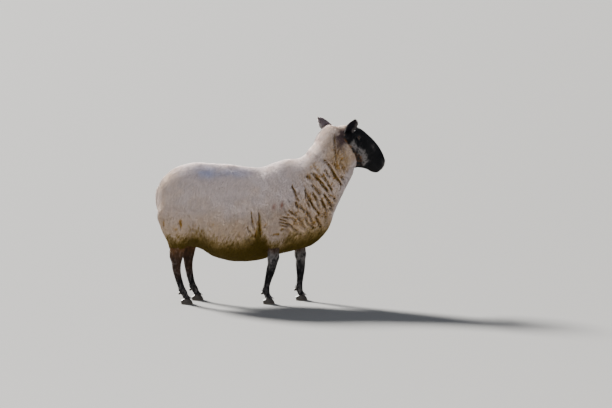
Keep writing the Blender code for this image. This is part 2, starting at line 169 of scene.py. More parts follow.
# top x, top z, bottom x, bottom z, half width, height share of the widest level, and the width's share
# near the top and near the bottom; on the neck also top's and bottom's shift to the left and turn in degrees
bodySections = {
    "rumpEnd": (-0.566, 0.525, -0.566, 0.525, 0.000, 0.50, 0.75, 0.75),
    "buttocks": (-0.557, 0.582, -0.560, 0.466, 0.074, 0.50, 0.78, 0.78),
    "pinBones": (-0.540, 0.618, -0.545, 0.405, 0.116, 0.50, 0.78, 0.78),
    "tailHead": (-0.512, 0.648, -0.517, 0.350, 0.148, 0.50, 0.78, 0.76),
    "croup": (-0.474, 0.675, -0.474, 0.305, 0.171, 0.47, 0.78, 0.62),
    "hips": (-0.420, 0.693, -0.420, 0.283, 0.186, 0.47, 0.78, 0.60),
    "flank": (-0.362, 0.701, -0.356, 0.272, 0.194, 0.49, 0.77, 0.64),
    "loin": (-0.290, 0.696, -0.288, 0.233, 0.206, 0.53, 0.75, 0.72),
    "barrel": (-0.200, 0.691, -0.200, 0.208, 0.213, 0.55, 0.73, 0.74),
    "midBack": (-0.116, 0.680, -0.118, 0.205, 0.210, 0.55, 0.73, 0.74),
    "girth": (-0.041, 0.679, -0.042, 0.215, 0.200, 0.52, 0.74, 0.68),
    "shoulders": (0.024, 0.700, 0.040, 0.240, 0.190, 0.49, 0.75, 0.56),
    "withers": (0.084, 0.717, 0.134, 0.264, 0.179, 0.47, 0.76, 0.50),
    "brisket": (0.134, 0.722, 0.216, 0.292, 0.166, 0.46, 0.78, 0.54, 0.000, 0.000, 1.0),
    "breast": (0.170, 0.738, 0.289, 0.366, 0.150, 0.47, 0.80, 0.66, 0.001, 0.001, 3.0),
    "neckRoot": (0.194, 0.760, 0.324, 0.458, 0.136, 0.49, 0.80, 0.76, 0.003, 0.005, 6.0),
    "lowNeck": (0.219, 0.792, 0.355, 0.530, 0.126, 0.49, 0.80, 0.78, 0.006, 0.012, 11.0),
    "midNeck": (0.244, 0.838, 0.376, 0.580, 0.119, 0.49, 0.80, 0.78, 0.010, 0.023, 18.0),
    "highNeck": (0.272, 0.868, 0.386, 0.610, 0.113, 0.48, 0.80, 0.76, 0.013, 0.034, 26.0),
    "nape": (0.304, 0.885, 0.393, 0.636, 0.105, 0.46, 0.80, 0.72, 0.014, 0.044, 32.0),
}

# in the head's frame: top forward, top up, bottom forward, bottom up, half width, then shares as above
headSections = {
    "poll": (-0.042, -0.037, 0.150, -0.165, 0.098, 0.45, 0.80, 0.70),
    "ears": (-0.004, -0.002, 0.160, -0.152, 0.085, 0.44, 0.80, 0.70),
    "forehead": (0.030, 0.021, 0.174, -0.139, 0.077, 0.42, 0.80, 0.70),
    "brows": (0.062, 0.032, 0.188, -0.127, 0.073, 0.41, 0.80, 0.70),
    "eyes": (0.092, 0.036, 0.202, -0.119, 0.067, 0.42, 0.76, 0.70),
    "cheeks": (0.123, 0.038, 0.215, -0.112, 0.060, 0.45, 0.72, 0.72),
    "noseRoot": (0.155, 0.039, 0.229, -0.106, 0.053, 0.48, 0.70, 0.76),
    "noseBridge": (0.189, 0.037, 0.243, -0.101, 0.046, 0.50, 0.70, 0.80),
    "nose": (0.221, 0.032, 0.256, -0.098, 0.041, 0.52, 0.70, 0.80),
    "mouth": (0.250, 0.023, 0.268, -0.096, 0.038, 0.52, 0.72, 0.80),
    "nostrils": (0.275, 0.012, 0.280, -0.092, 0.035, 0.50, 0.74, 0.78),
    "lips": (0.297, -0.003, 0.295, -0.082, 0.028, 0.48, 0.76, 0.76),
    "muzzle": (0.309, -0.019, 0.306, -0.064, 0.018, 0.48, 0.78, 0.78),
    "muzzleEnd": (0.312, -0.041, 0.312, -0.041, 0.000, 0.50, 0.75, 0.75),
}

spine = {
    "columns": 200,
    "cornerLevel": 0.28,
    # section to section, distance between rings
    "rows": (("pinBones", "breast", 0.012), ("breast", "poll", 0.007), ("poll", "forehead", 0.0028),
             ("forehead", "cheeks", 0.0013), ("cheeks", "mouth", 0.0018), ("mouth", "muzzle", 0.0012)),
    "endRings": 9,
    "endGrowth": (1.6, 1.3),  # powers by which the rings close up at rump and muzzle
    "eyeColumns": (1.75, 0.45, 1.4),  # ring place, spread and extra density of the columns at the eyes
}


def sectionRing(top, bottom, left, halfWidth, widest, high, low):
    # eight corners: top, three down the left side, bottom and three up the right side
    down = bottom - top
    level = spine["cornerLevel"]
    shares = ((level * widest, high), (widest, 1.0), (1 - level * (1 - widest), low))
    side = [(top + down * height, left * halfWidth * share) for height, share in shares]
    ring = [top, *(place + out for place, out in side), bottom]
    return ring + [place - out for place, out in reversed(side)]


def spineSections():
    # section rings, and their distances along the loft
    rings, tops, bottoms = [], [], []
    for row in bodySections.values():
        topShift, bottomShift, degrees = row[8:] or (0.0, 0.0, 0.0)
        turn = math.radians(degrees)
        tops.append(np.array([row[0], topShift, row[1]]))
        bottoms.append(np.array([row[2], bottomShift, row[3]]))
        left = np.array([-math.sin(turn), math.cos(turn), 0.0])
        rings.append(sectionRing(tops[-1], bottoms[-1], left, *row[4:8]))
    for row in headSections.values():
        tops.append(fromHead((row[0], 0.0, row[1])))
        bottoms.append(fromHead((row[2], 0.0, row[3])))
        rings.append(sectionRing(tops[-1], bottoms[-1], headAxes()[1], *row[4:8]))
    keys = pathKeys(tops, bottoms)
    return np.array(rings), keys, dict(zip([*bodySections, *headSections], keys))


def spineSurface():
    # grid of rings: a cubic curve along the sections times a closed cubic curve around each
    rings, keys, place = spineSections()
    ends = spine["endRings"]
    rumpGrowth, muzzleGrowth = spine["endGrowth"]
    grow = (np.arange(ends) / ends) ** rumpGrowth
    rows = [place["rumpEnd"] + (place["pinBones"] - place["rumpEnd"]) * grow]
    for first, last, step in spine["rows"]:
        count = max(2, round((place[last] - place[first]) / step))
        rows.append(np.linspace(place[first], place[last], count, endpoint=False))
    left = (1 - np.arange(ends + 1) / ends) ** muzzleGrowth
    rows.append(place["muzzleEnd"] - (place["muzzleEnd"] - place["muzzle"]) * left)
    rows = np.concatenate(rows)
    corners = rings.shape[1]
    fine = np.linspace(0.0, corners, 500 * corners + 1)
    eyeRing = np.einsum("s,ac,scx->ax", curveWeights(keys, [place["eyes"]])[0],
                        ringWeights(corners, fine % corners), rings)
    centre, spread, extra = spine["eyeColumns"]
    density = 1 + extra * (bump(fine, centre, spread) + bump(fine, corners - centre, spread))
    steps = np.linalg.norm(np.diff(eyeRing, axis=0), axis=1) * (density[1:] + density[:-1]) / 2
    length = np.concatenate([[0.0], np.cumsum(steps)])
    columns = np.interp(np.arange(spine["columns"]) / spine["columns"] * length[-1], length, fine)
    grid = np.einsum("rs,ac,scx->rax", curveWeights(keys, rows), ringWeights(corners, columns), rings)
    return grid, rows, place


def gridNormals(grid):
    # outward unit normals: direction along the loft times direction around it
    along = np.gradient(grid, axis=0)
    around = np.roll(grid, -1, axis=1) - np.roll(grid, 1, axis=1)
    normals = np.cross(along, around)
    size = np.linalg.norm(normals, axis=2, keepdims=True)
    normals = normals / np.maximum(size, 1e-12)
    outward = grid - grid.mean(axis=1, keepdims=True)
    if (normals * outward).sum() < 0:
        normals = -normals
    for end, near in ((0, 1), (-1, -2)):
        if np.ptp(grid[end], axis=0).max() < 1e-5:
            normals[end] = unit(normals[near].mean(axis=0))
    return normals


woolLimits = {
    "wool": 0.027,  # depth of the fleece
    "edgeWool": 0.0035,  # depth of the wool right at its border
    "faceHair": 0.0024,
    "earHair": 0.001,
    "rise": 0.055,  # distance behind the border over which the wool reaches its depth
    # border on the head's side: height in the head's frame, forward place
    "border": ((-0.6, 0.9), (-0.34, 0.52), (-0.24, 0.34), (-0.163, 0.2), (-0.14, 0.15),
               (-0.127, 0.102), (-0.113, 0.052), (-0.1, 0.024), (-0.095, -0.01), (-0.081, -0.024),
               (-0.05, -0.024), (-0.02, -0.014), (0.0, -0.002), (0.04, 0.012)),
}


def borderDistance(points):
    # how far a point lies behind the wool's border on the head, positive inside the wool
    head = toHead(points)
    ragged = 0.006 * softNoise(points, 0.012, 3) + 0.004 * softNoise(points, 0.005, 4)
    return np.interp(head[..., 2], *np.array(woolLimits["border"]).T) - head[..., 0] + ragged


def headDepth(points):
    # coat depth on the loft: full wool on the body, short hair on the face
    behind = borderDistance(points)
    grown = smoothStep(0.0, woolLimits["rise"], behind)
    shortWool = woolLimits["edgeWool"] * smoothStep(-0.004, 0.004, behind)
    deep = woolLimits["wool"] - woolLimits["faceHair"]
    return woolLimits["faceHair"] + np.maximum(shortWool, deep * grown)


# swells and hollows of the head, in its own frame and for both sides
headSwells = (
    # centre (forward, out, up), radii (forward, out, up), height
    ((0.055, 0.066, 0.0), (0.026, 0.03, 0.011), 0.003),  # brow
    ((0.112, 0.062, -0.088), (0.04, 0.04, 0.034), 0.002),  # chewing muscle
    ((0.122, 0.057, -0.052), (0.034, 0.03, 0.009), 0.0022),  # ridge under the eye
    ((0.093, 0.061, -0.024), (0.014, 0.02, 0.011), -0.0036),  # tear pit
    ((0.172, 0.046, -0.052), (0.03, 0.03, 0.016), -0.003),  # hollow before the cheek
    ((0.194, 0.036, 0.0), (0.05, 0.03, 0.012), -0.002),  # side of the nose bone
    ((0.205, 0.04, -0.092), (0.036, 0.03, 0.01), -0.0014),  # above the jaw's edge
    ((0.291, 0.026, -0.015), (0.012, 0.014, 0.012), 0.0026),  # wing of the nostril
    ((0.288, 0.026, -0.051), (0.018, 0.02, 0.008), 0.0014),  # upper lip
    ((0.291, 0.012, -0.077), (0.016, 0.022, 0.008), 0.0016),  # chin
    ((0.035, 0.0, 0.024), (0.03, 0.03, 0.03), -0.001),  # brow's middle
)

headGrooves = (
    # polyline (forward, out, up), half width, depth
    (((0.314, 0.0, -0.06), (0.306, 0.016, -0.0625), (0.287, 0.03, -0.067), (0.249, 0.038, -0.071)),
     0.0018, 0.0048),  # mouth
    (((0.311, 0.005, -0.035), (0.309, 0.0105, -0.0285), (0.302, 0.018, -0.02), (0.289, 0.0245, -0.015)),
     0.0033, 0.0105),  # nostril
    (((0.312, 0.0, -0.038), (0.312, 0.0, -0.0595)), 0.0012, 0.002),  # cleft of the lip
    (((0.304, 0.023, -0.031), (0.288, 0.03, -0.031), (0.273, 0.034, -0.025)), 0.0028, 0.0012),  # wing's edge
)

grooveFades = (0.06, 0.8)  # shares along a groove between which it has its full depth

eyeShape = {
    "centre": (0.057, 0.0622, -0.033),
    "radius": 0.0145,
    "outward": (0.2, 1.0, 0.06),  # way that the eye looks, in the head's frame
    "orbit": (0.057, 0.1007, -0.033),
    "orbitRadius": 0.03,
    "orbitBlend": 0.005,
    "orbitFade": (0.03, 0.012),  # the swell ends and starts this far outside the orbit
    "bulge": 0.055,  # swell of the clear front of the eye
    "bulgeSpread": 0.52,
    "rings": 40,
    "around": 56,
}


def mirrored(head):
    # both sides of the head laid on its left side
    return np.stack([head[..., 0], np.abs(head[..., 1]), head[..., 2]], axis=-1)


def shapeHead(grid, normals):
    # moves the head's surface along its normals by the sum of bells and grooves, then swells the orbits
    head = toHead(grid)
    side = mirrored(head)
    lift = np.zeros(grid.shape[:2])
    for centre, radii, height in headSwells:
        lift += height * bump(side, centre, radii).prod(axis=2)
    flat = side.reshape(-1, 3)
    for line, halfWidth, depth in headGrooves:
        distance, share, _ = lineDistance(flat, line)
        startFade, endFade = grooveFades
        fade = smoothStep(1.0, endFade, share)
        if line[0][1] > 0.001:  # a groove that doesn't start on the middle line fades at both ends
            fade = smoothStep(0.0, startFade, share) * fade
        lift -= (depth * fade * bump(distance, 0.0, halfWidth)).reshape(lift.shape)
    shaped = grid + normals * lift[:, :, None]
    shapedHead = toHead(shaped)
    for sign in (1, -1):
        centre = np.array(eyeShape["orbit"]) * (1, sign, 1)
        offset = shapedHead - centre
        distance = np.linalg.norm(offset, axis=2)
        inside = eyeShape["orbitRadius"] - distance
        soft = eyeShape["orbitBlend"]
        push = soft * np.log1p(np.exp(np.clip(inside / soft, -30, 30))) - 0.0004
        push = np.maximum(push, 0.0) * smoothStep(*eyeShape["orbitFade"], -inside)
        shapedHead = shapedHead + unit(offset) * push[:, :, None]
    return fromHead(shapedHead)


# height, half depth, half width
foreGirths = {
    "blade": (0.56, 0.0, 0.0), "shoulder": (0.52, 0.07, 0.042), "arm": (0.45, 0.084, 0.062),
    "elbow": (0.38, 0.072, 0.06), "forearm": (0.33, 0.05, 0.048), "cuff": (0.294, 0.036, 0.034),
    "aboveKnee": (0.264, 0.0305, 0.029), "knee": (0.232, 0.03, 0.028), "underKnee": (0.2, 0.0255, 0.0245),
    "cannon": (0.165, 0.023, 0.0205), "shin": (0.12, 0.0178, 0.017),
    "aboveFetlock": (0.086, 0.0165, 0.0165), "fetlock": (0.062, 0.021, 0.0205),
    "pastern": (0.045, 0.0195, 0.019), "coronet": (0.0315, 0.0225, 0.0225),
}
hindGirths = {
    "hip": (0.565, 0.0, 0.0), "rump": (0.525, 0.085, 0.05), "thigh": (0.45, 0.106, 0.068),
    "stifle": (0.395, 0.092, 0.067), "gaskin": (0.35, 0.072, 0.056), "lowerGaskin": (0.313, 0.053, 0.044),
    "cuff": (0.282, 0.043, 0.034), "aboveHock": (0.258, 0.037, 0.028), "hock": (0.235, 0.034, 0.0255),
    "underHock": (0.205, 0.0265, 0.0225), "cannon": (0.165, 0.0205, 0.0195), "shin": (0.12, 0.018, 0.017),
    "aboveFetlock": (0.086, 0.0175, 0.017), "fetlock": (0.062, 0.0215, 0.0205),
    "pastern": (0.045, 0.02, 0.019), "coronet": (0.0315, 0.0225, 0.0225),
}
# the middle of each leg from the body down: height, x, y
legLines = {
    "fore_right": ((0.56, 0.05, -0.095), (0.45, 0.035, -0.117), (0.33, 0.021, -0.11),
                   (0.232, 0.016, -0.1), (0.165, 0.003, -0.097), (0.086, -0.018, -0.095),
                   (0.062, -0.022, -0.095), (0.045, -0.014, -0.095), (0.0315, -0.005, -0.095)),
    "fore_left": ((0.56, 0.145, 0.085), (0.45, 0.145, 0.108), (0.33, 0.151, 0.106),
                  (0.232, 0.15, 0.098), (0.165, 0.151, 0.097), (0.086, 0.146, 0.096),
                  (0.062, 0.142, 0.096), (0.045, 0.149, 0.096), (0.0315, 0.158, 0.096)),
    "hind_right": ((0.565, -0.44, -0.09), (0.45, -0.451, -0.108), (0.35, -0.459, -0.11),
                   (0.282, -0.46, -0.106), (0.235, -0.467, -0.104), (0.165, -0.464, -0.103),
                   (0.086, -0.442, -0.102), (0.062, -0.433, -0.102), (0.045, -0.423, -0.102),
                   (0.0315, -0.413, -0.102)),
    "hind_left": ((0.565, -0.435, 0.09), (0.45, -0.436, 0.108), (0.35, -0.424, 0.11),
                  (0.282, -0.412, 0.105), (0.235, -0.416, 0.104), (0.165, -0.412, 0.103),
                  (0.086, -0.395, 0.102), (0.062, -0.386, 0.102), (0.045, -0.376, 0.102),
                  (0.0315, -0.366, 0.102)),
}
legDetail = {
    "rows": 84,
    "rowGrowth": 0.8,  # power that brings the rings closer towards the thigh
    "around": 40,
    "cuff": 0.288,  # height down to which the legs carry wool
    # coat depth at heights from the coronet up
    "depthHeights": (0.03, 0.262, 0.296, 0.33, 0.42, 0.56),
    "depths": (0.002, 0.0022, 0.007, 0.011, 0.02, 0.022),
}


def legSurface(name):
    # level ellipses around the leg's line, of the girths at each height
    girths = foreGirths if name.startswith("fore") else hindGirths
    levels = np.array(list(girths.values()))
    line = np.array(legLines[name])
    heights = levels[:, 0]
    middles = curveWeights(-line[:, 0], -heights) @ line[:, 1:]
    keys = pathKeys(np.column_stack([middles[:, 0] + levels[:, 1], heights]),
                    np.column_stack([middles[:, 0] - levels[:, 1], heights]))
    table = np.column_stack([middles, levels])
    at = keys[-1] * np.linspace(0.0, 1.0, legDetail["rows"]) ** legDetail["rowGrowth"]
    x, y, z, depth, width = (curveWeights(keys, at) @ table).T[:, :, None]
    angle = ringAngles(legDetail["around"])
    return np.stack([x + depth * np.cos(angle), y + width * np.sin(angle), z + 0.0 * angle], axis=2)[::-1]


legHollows = (
    # legs, way round the leg, lift, its height and its spread up the leg
    ("fore hind", "tendon", -0.003, 0.14, 0.045),
    ("fore hind", "toes", -0.0045, 0.044, 0.016),
    ("fore hind", "sides", -0.0016, 0.098, 0.02),
    ("hind", "hockSide", -0.0075, 0.292, 0.03),
    ("hind", "back", -0.0035, 0.208, 0.022),
    ("fore", "front", -0.003, 0.262, 0.022),
    ("fore", "back", -0.0022, 0.206, 0.016),
    ("fore", "kneecap", 0.001, 0.236, 0.016),
)


def shapeLeg(name, grid, normals):
    # hollows between bone and tendon, under the hock's point and between the two toes
    angle = ringAngles(legDetail["around"])
    sideways = np.abs(np.sin(angle))
    behind, front = np.clip(-np.cos(angle), 0, 1), np.clip(np.cos(angle), 0, 1)
    fromBack = np.arccos(np.clip(-np.cos(angle), -1, 1))
    ways = {"tendon": bump(fromBack, 0.95, 0.38), "hockSide": bump(fromBack, 1.05, 0.42),
            "toes": behind**14 + front**14, "sides": sideways, "back": behind**2, "front": front**2,
            "kneecap": front**4 + sideways**6}
    lift = np.zeros(grid.shape[:2])
    for legs, way, height, level, spread in legHollows:
        if name.split("_")[0] in legs:
            lift += height * bump(grid[:, :, 2], level, spread) * ways[way]
    return grid + normals * lift[:, :, None]


ears = {
    "roots": {1: (0.016, 0.056, -0.046), -1: (0.001, -0.061, -0.058)},
    "tips": {1: (-0.07, 0.162, -0.006), -1: (-0.071, -0.161, -0.006)},
    "openings": {1: (0.78, 0.55, 0.25), -1: (0.45, -0.45, -0.65)},
    "widths": {1: 0.047, -1: 0.055},
    "leaves": {1: (0.62, 1.3, 3.8), -1: (0.74, 1.08, 3.8)},  # a, b and n of the width along the ear
    "start": -0.1,  # share of the length at which the ear begins, inside the head
    "curl": 85.0,  # half angle of the arc at the root, in degrees
    "uncurl": 0.72,  # share of the curl that is lost towards the tip
    "bows": {1: 0.008, -1: 0.0},
    "thickness": 0.0046,
    "thickShares": (1.25, 0.5),  # at the root and at the tip
    "section": (0.85, 0.75),  # powers that draw the lens out at its rims and flatten its middle
    "ribs": (0.16, 9.0),  # height of the ribs on the back, against its thickness, and their number
    "rows": 46,
    "around": 44,
}


def earFrame(side):
    # root, tip, and unit vectors along the ear, out of its opening and across it
    root = np.array(ears["roots"][side])
    tip = np.array(ears["tips"][side])
    axis = unit(tip - root)
    opening = np.array(ears["openings"][side])
    opening = unit(opening - axis * opening.dot(axis))
    return root, tip, axis, opening, np.cross(axis, opening)


def leafWidth(side, share):
    # a + b s - (a + b) s^n
    base, swell, power = ears["leaves"][side]
    return base + swell * share - (base + swell) * share**power


def earSurface(side, inset):
    # a curled leaf: a width for each place along it, and each section is a lens bent to an arc
    root, tip, axis, opening, across = earFrame(side)
    length = np.linalg.norm(tip - root)
    s = np.linspace(ears["start"], 1.0, ears["rows"])[:, None]
    s = np.where(s > 0, np.sin(0.5 * math.pi * np.clip(s, 0, 1)), s)
    share = np.clip(s, 0, 1)
    openEnd = np.where(s >= 1.0, 0.0, 1.0)
    width = (0.5 * ears["widths"][side] * np.maximum(leafWidth(side, share), 0.02) - inset) * openEnd
    width = np.maximum(width, 1e-4 * openEnd)
    curl = math.radians(ears["curl"]) * (1 - ears["uncurl"] * share**0.7)
    thick = ears["thickness"] * np.interp(share, (0, 1), ears["thickShares"]) - 2 * inset
    radius = width / np.sin(curl)
    phase = ringAngles(ears["around"])
    turn, bulge = (np.sign(wave) * np.abs(wave) ** power
                   for wave, power in zip((np.cos(phase), np.sin(phase)), ears["section"]))
    ribHeight, ribCount = ears["ribs"]
    ribs = 1 + ribHeight * np.cos(turn * ribCount) * (bulge < 0)
    reach = radius + 0.5 * thick * bulge * ribs * openEnd
    sag = (reach * np.cos(curl * turn) - radius * np.cos(curl)) * openEnd
    over = reach * np.sin(curl * turn) * openEnd
    bow = side * ears["bows"][side] * np.sin(math.pi * share)
    points = root + axis * (s * length)[:, :, None] + across * (over + bow)[:, :, None]
    return fromHead(points - opening * sag[:, :, None])


tail = {"top": (-0.548, 0.585), "length": 0.125, "depth": 0.04, "width": 0.06, "bow": 0.006,
        "wool": 0.01, "rows": 24, "around": 28}


def tailSurface(inset):
    # a docked stub: level ellipses whose fullness is the root of 1 - (2 s - 1)^4
    share = np.linspace(0.0, 1.0, tail["rows"])[:, None]
    angle = ringAngles(tail["around"])
    fullness = np.sqrt(np.clip(1 - (2 * share - 1) ** 4, 0, 1))
    x = tail["top"][0] - tail["bow"] * np.sin(math.pi * share)
    x = x + (0.5 * tail["depth"] - inset) * fullness * np.cos(angle)
    y = (0.5 * tail["width"] - inset) * fullness * np.sin(angle)
    z = tail["top"][1] - inset - (tail["length"] - 2 * inset) * share + 0.0 * angle
    return np.stack([x, y, z], axis=2)[::-1]


lids = {
    "around": 72,
    "length": 56.0,  # half angle of the opening along the head, in degrees
    "upper": 33.0,
    "lower": 27.0,
    "tilt": -14.0,  # the front corner lies lower
    "roundness": 1.7,  # 2 would make the opening an ellipse
    "narrowing": 0.25,  # share of the lids' breadth that is lost at the corners of the eye
    "lowerFold": 0.8,  # height of the lower lid's fold against the upper one's
    "sunk": 0.004,  # front end's depth inside the eyeball, and the back end's behind its centre
    # degrees beyond the margin, height over the eyeball
    "profile": ((-7.0, -0.003), (-1.5, -0.0012), (0.0, 0.0003), (1.6, 0.0014), (4.5, 0.0022),
                (9.0, 0.0027), (15.0, 0.0028), (21.0, 0.0022), (25.0, 0.0013), (29.0, 0.0014),
                (35.0, 0.0012), (43.0, -0.0016), (52.0, -0.0065)),
}


def eyeFrame(side):
    # centre, and unit vectors the way that the eye looks, forward and up
    centre = np.array(eyeShape["centre"]) * (1, side, 1)
    outward = unit(np.array(eyeShape["outward"]) * (1, side, 1))
    forward = np.array([1.0, 0.0, 0.0])
    forward = unit(forward - outward * forward.dot(outward))
    upward = np.cross(outward, forward) * -side
    if upward[2] < 0:
        upward = -upward
    return centre, outward, forward, upward


def lidSurface(side):
    # rings around the eye's opening: an almond of angles, with the lid's profile beyond it
    centre, outward, forward, upward = eyeFrame(side)
    phase = ringAngles(lids["around"])
    high = np.where(np.sin(phase) > 0, lids["upper"], lids["lower"])
    power = lids["roundness"]
    reach = (np.abs(np.cos(phase) / lids["length"]) ** power
             + np.abs(np.sin(phase) / high) ** power) ** (-1 / power)
    tilt = math.radians(lids["tilt"])
    cosine, sine = np.cos(phase + tilt), np.sin(phase + tilt)
    rings = []
    for beyond, rise in lids["profile"]:
        fold = rise * np.where(np.sin(phase) > 0, 1.0, lids["lowerFold"]) if rise > 0.0005 else rise
        angle = np.radians(reach + beyond * (1 - lids["narrowing"] * np.abs(np.cos(phase)) ** 4))[:, None]
        radius = (eyeShape["radius"] + fold) * np.ones_like(phase)
        ring = cosine[:, None] * forward + sine[:, None] * upward
        rings.append(centre + radius[:, None] * (np.cos(angle) * outward + np.sin(angle) * ring))
    ends = [np.tile(centre + outward * out, (lids["around"], 1))
            for out in (eyeShape["radius"] - lids["sunk"], -lids["sunk"])]
    return fromHead(np.array([ends[0], *rings, ends[1]]))


def gridMesh(name, grid):
    # closed mesh from rings; a ring with no size becomes one point, others get a flat cap
    around = grid.shape[1]
    points, index, total = [], [], 0
    for row in grid:
        if np.ptp(row, axis=0).max() < 1e-5:
            points.append(row.mean(axis=0)[None, :])
            index.append(np.full(around, total))
            total += 1
        else:
            points.append(row)
            index.append(np.arange(around) + total)
            total += around
    points = np.concatenate(points)
    index = np.array(index)
    after = np.roll(index, -1, axis=1)
    a, b, c, d = index[:-1], after[:-1], after[1:], index[1:]
    quads = np.stack([a, d, c, b], axis=2).reshape(-1, 4)
    faces = [tuple(dict.fromkeys(face)) for face in quads.tolist()]
    if index[0, 0] != index[0, 1]:
        faces.append(tuple(index[0].tolist()))
    if index[-1, 0] != index[-1, 1]:
        faces.append(tuple(index[-1, ::-1].tolist()))
    mesh = bpy.data.meshes.new(name)
    mesh.from_pydata(points.tolist(), [], faces)
    mesh.update()
    if signedVolume(mesh) < 0:
        mesh.flip_normals()
    mesh.shade_smooth()
    return addPiece(name, mesh)


def readValues(items, key, width, kind):
    # one row of values for each point, edge or triangle
    values = np.empty(len(items) * width, kind)
    items.foreach_get(key, values)
    return values.reshape(-1, width)


def signedVolume(mesh):
    # a sixth of the sum of a . (b x c) over the triangles; it is negative where the faces point inwards
    mesh.calc_loop_triangles()
    places = meshPoints(mesh)[readValues(mesh.loop_triangles, "vertices", 3, np.int32)]
    return np.einsum("ij,ij->i", places[:, 0], np.cross(places[:, 1], places[:, 2])).sum() / 6


def meshPoints(mesh):
    return readValues(mesh.vertices, "co", 3, np.float32).astype(float)


def joinSolids(base, parts):
    # one closed mesh out of overlapping solids
    for part in parts:
        modifier = base.modifiers.new(part.name, "BOOLEAN")
        modifier.operation = "UNION"
        modifier.solver = "MANIFOLD"
        modifier.object = part
    graph = bpy.context.evaluated_depsgraph_get()
    mesh = bpy.data.meshes.new_from_object(base.evaluated_get(graph))
    base.modifiers.clear()
    base.data = mesh
    for part in parts:
        bpy.data.objects.remove(part)
    return base


def relax(mesh, weight, rounds):
    # moves weighted points towards the mean of their neighbours
    points = meshPoints(mesh)
    edges = readValues(mesh.edges, "vertices", 2, np.int32)
    edges = edges[(weight[edges] > 0).any(axis=1)]
    both = np.concatenate([edges, edges[:, ::-1]])
    count = np.maximum(np.bincount(both[:, 0], minlength=len(points)), 1)
    for _ in range(rounds):
        sums = [np.bincount(both[:, 0], points[both[:, 1], axis], len(points)) for axis in range(3)]
        mean = np.stack(sums, axis=1) / count[:, None]
        points += (mean - points) * weight[:, None]
    mesh.vertices.foreach_set("co", points.astype(np.float32).ravel())
    mesh.update()


print("ewe: surfaces")
spineOuter, spineKeys, spinePlace = spineSurface()
spineNormal = gridNormals(spineOuter)
spineDepth = headDepth(spineOuter)
isHeadRow = spineKeys > spinePlace["nape"]
spineShaped = spineOuter.copy()
spineShaped[isHeadRow] = shapeHead(spineOuter[isHeadRow], spineNormal[isHeadRow])
spineSkin = spineShaped - spineNormal * spineDepth[:, :, None]

legOuter = {name: legSurface(name) for name in legLines}
legNormal = {name: gridNormals(grid) for name, grid in legOuter.items()}
legDepth = {name: np.interp(grid[:, :, 2], legDetail["depthHeights"], legDetail["depths"])
            for name, grid in legOuter.items()}
legSkin = {name: shapeLeg(name, grid, legNormal[name]) - legNormal[name] * legDepth[name][:, :, None]
           for name, grid in legOuter.items()}
earSkin = {side: earSurface(side, woolLimits["earHair"]) for side in (1, -1)}

print("ewe: skin")
skin = gridMesh("skin", spineSkin)
limbs = [gridMesh(f"leg_{name}", grid) for name, grid in legSkin.items()]
limbs += [gridMesh(f"earSolid_{side}", grid) for side, grid in earSkin.items()]
limbs += [gridMesh(f"lidSolid_{side}", lidSurface(side)) for side in (1, -1)]
limbs.append(gridMesh("tailSolid", tailSurface(tail["wool"])))
skin = joinSolids(skin, limbs)
print("ewe: skin faces", len(skin.data.polygons), "volume", round(signedVolume(skin.data), 4))

# where the joined skin is smoothed: reach round the ear's root, and angle and reach round the lids
blending = {"earReach": (0.036, 0.018), "earWeight": 0.6, "earRounds": 6,
            "lidAngle": (58, 72), "lidReach": (0.034, 0.026), "lidWeight": 0.5, "lidRounds": 5}
skinHead = toHead(meshPoints(skin.data))
earRoots, lidRims = np.zeros((2, len(skinHead)))
for side in (1, -1):
    gap = np.linalg.norm(skinHead - np.array(ears["roots"][side]), axis=1)
    earRoots = np.maximum(earRoots, smoothStep(*blending["earReach"], gap))
    centre, outward, _, _ = eyeFrame(side)
    away = skinHead - centre
    angle = np.degrees(np.arccos(np.clip(unit(away) @ outward, -1, 1)))
    near = np.linalg.norm(away, axis=1)
    rim = smoothStep(*blending["lidAngle"], angle) * smoothStep(*blending["lidReach"], near)
    lidRims = np.maximum(lidRims, rim)
relax(skin.data, blending["earWeight"] * earRoots, blending["earRounds"])
relax(skin.data, blending["lidWeight"] * lidRims, blending["lidRounds"])
skin.data.shade_smooth()
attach(skin, "root")
fleshNodes = ["trunk", "neck", "tail", "head", "ear_left", "ear_right"]
fleshNodes += [f"{part}_{leg}" for part in ("upper", "lower") for leg in legLines]
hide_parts(*fleshNodes)


def eyeballSurface(side):
    # a ball with a clear bulge over the iris: rings around the way that the eye looks
    centre, outward, forward, upward = eyeFrame(side)
    angle = np.linspace(0.0, math.pi, eyeShape["rings"])
    phase = ringAngles(eyeShape["around"])
    radius = eyeShape["radius"] * (1 + eyeShape["bulge"] * bump(angle, 0.0, eyeShape["bulgeSpread"]))
    ring = np.cos(phase)[None, :, None] * forward + np.sin(phase)[None, :, None] * upward
    points = centre + radius[:, None, None] * (np.cos(angle)[:, None, None] * outward
                                               + np.sin(angle)[:, None, None] * ring)
    return fromHead(points)


for side, place in ((1, "left"), (-1, "right")):
    eyeball = gridMesh(f"eyeball_{place}", eyeballSurface(side))
    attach(eyeball, "root")
    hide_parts(f"eye_{place}")
    centre, outward, forward, upward = eyeFrame(side)
    away = unit(toHead(meshPoints(eyeball.data)) - centre)
    gaze = away @ np.stack([forward, upward, outward], axis=1)
    gaze[:, :2] += 2.0 * (gaze[:, 2:] < 0)  # the back of the ball counts as far from the pupil
    storeVector(eyeball.data, "gaze", gaze)


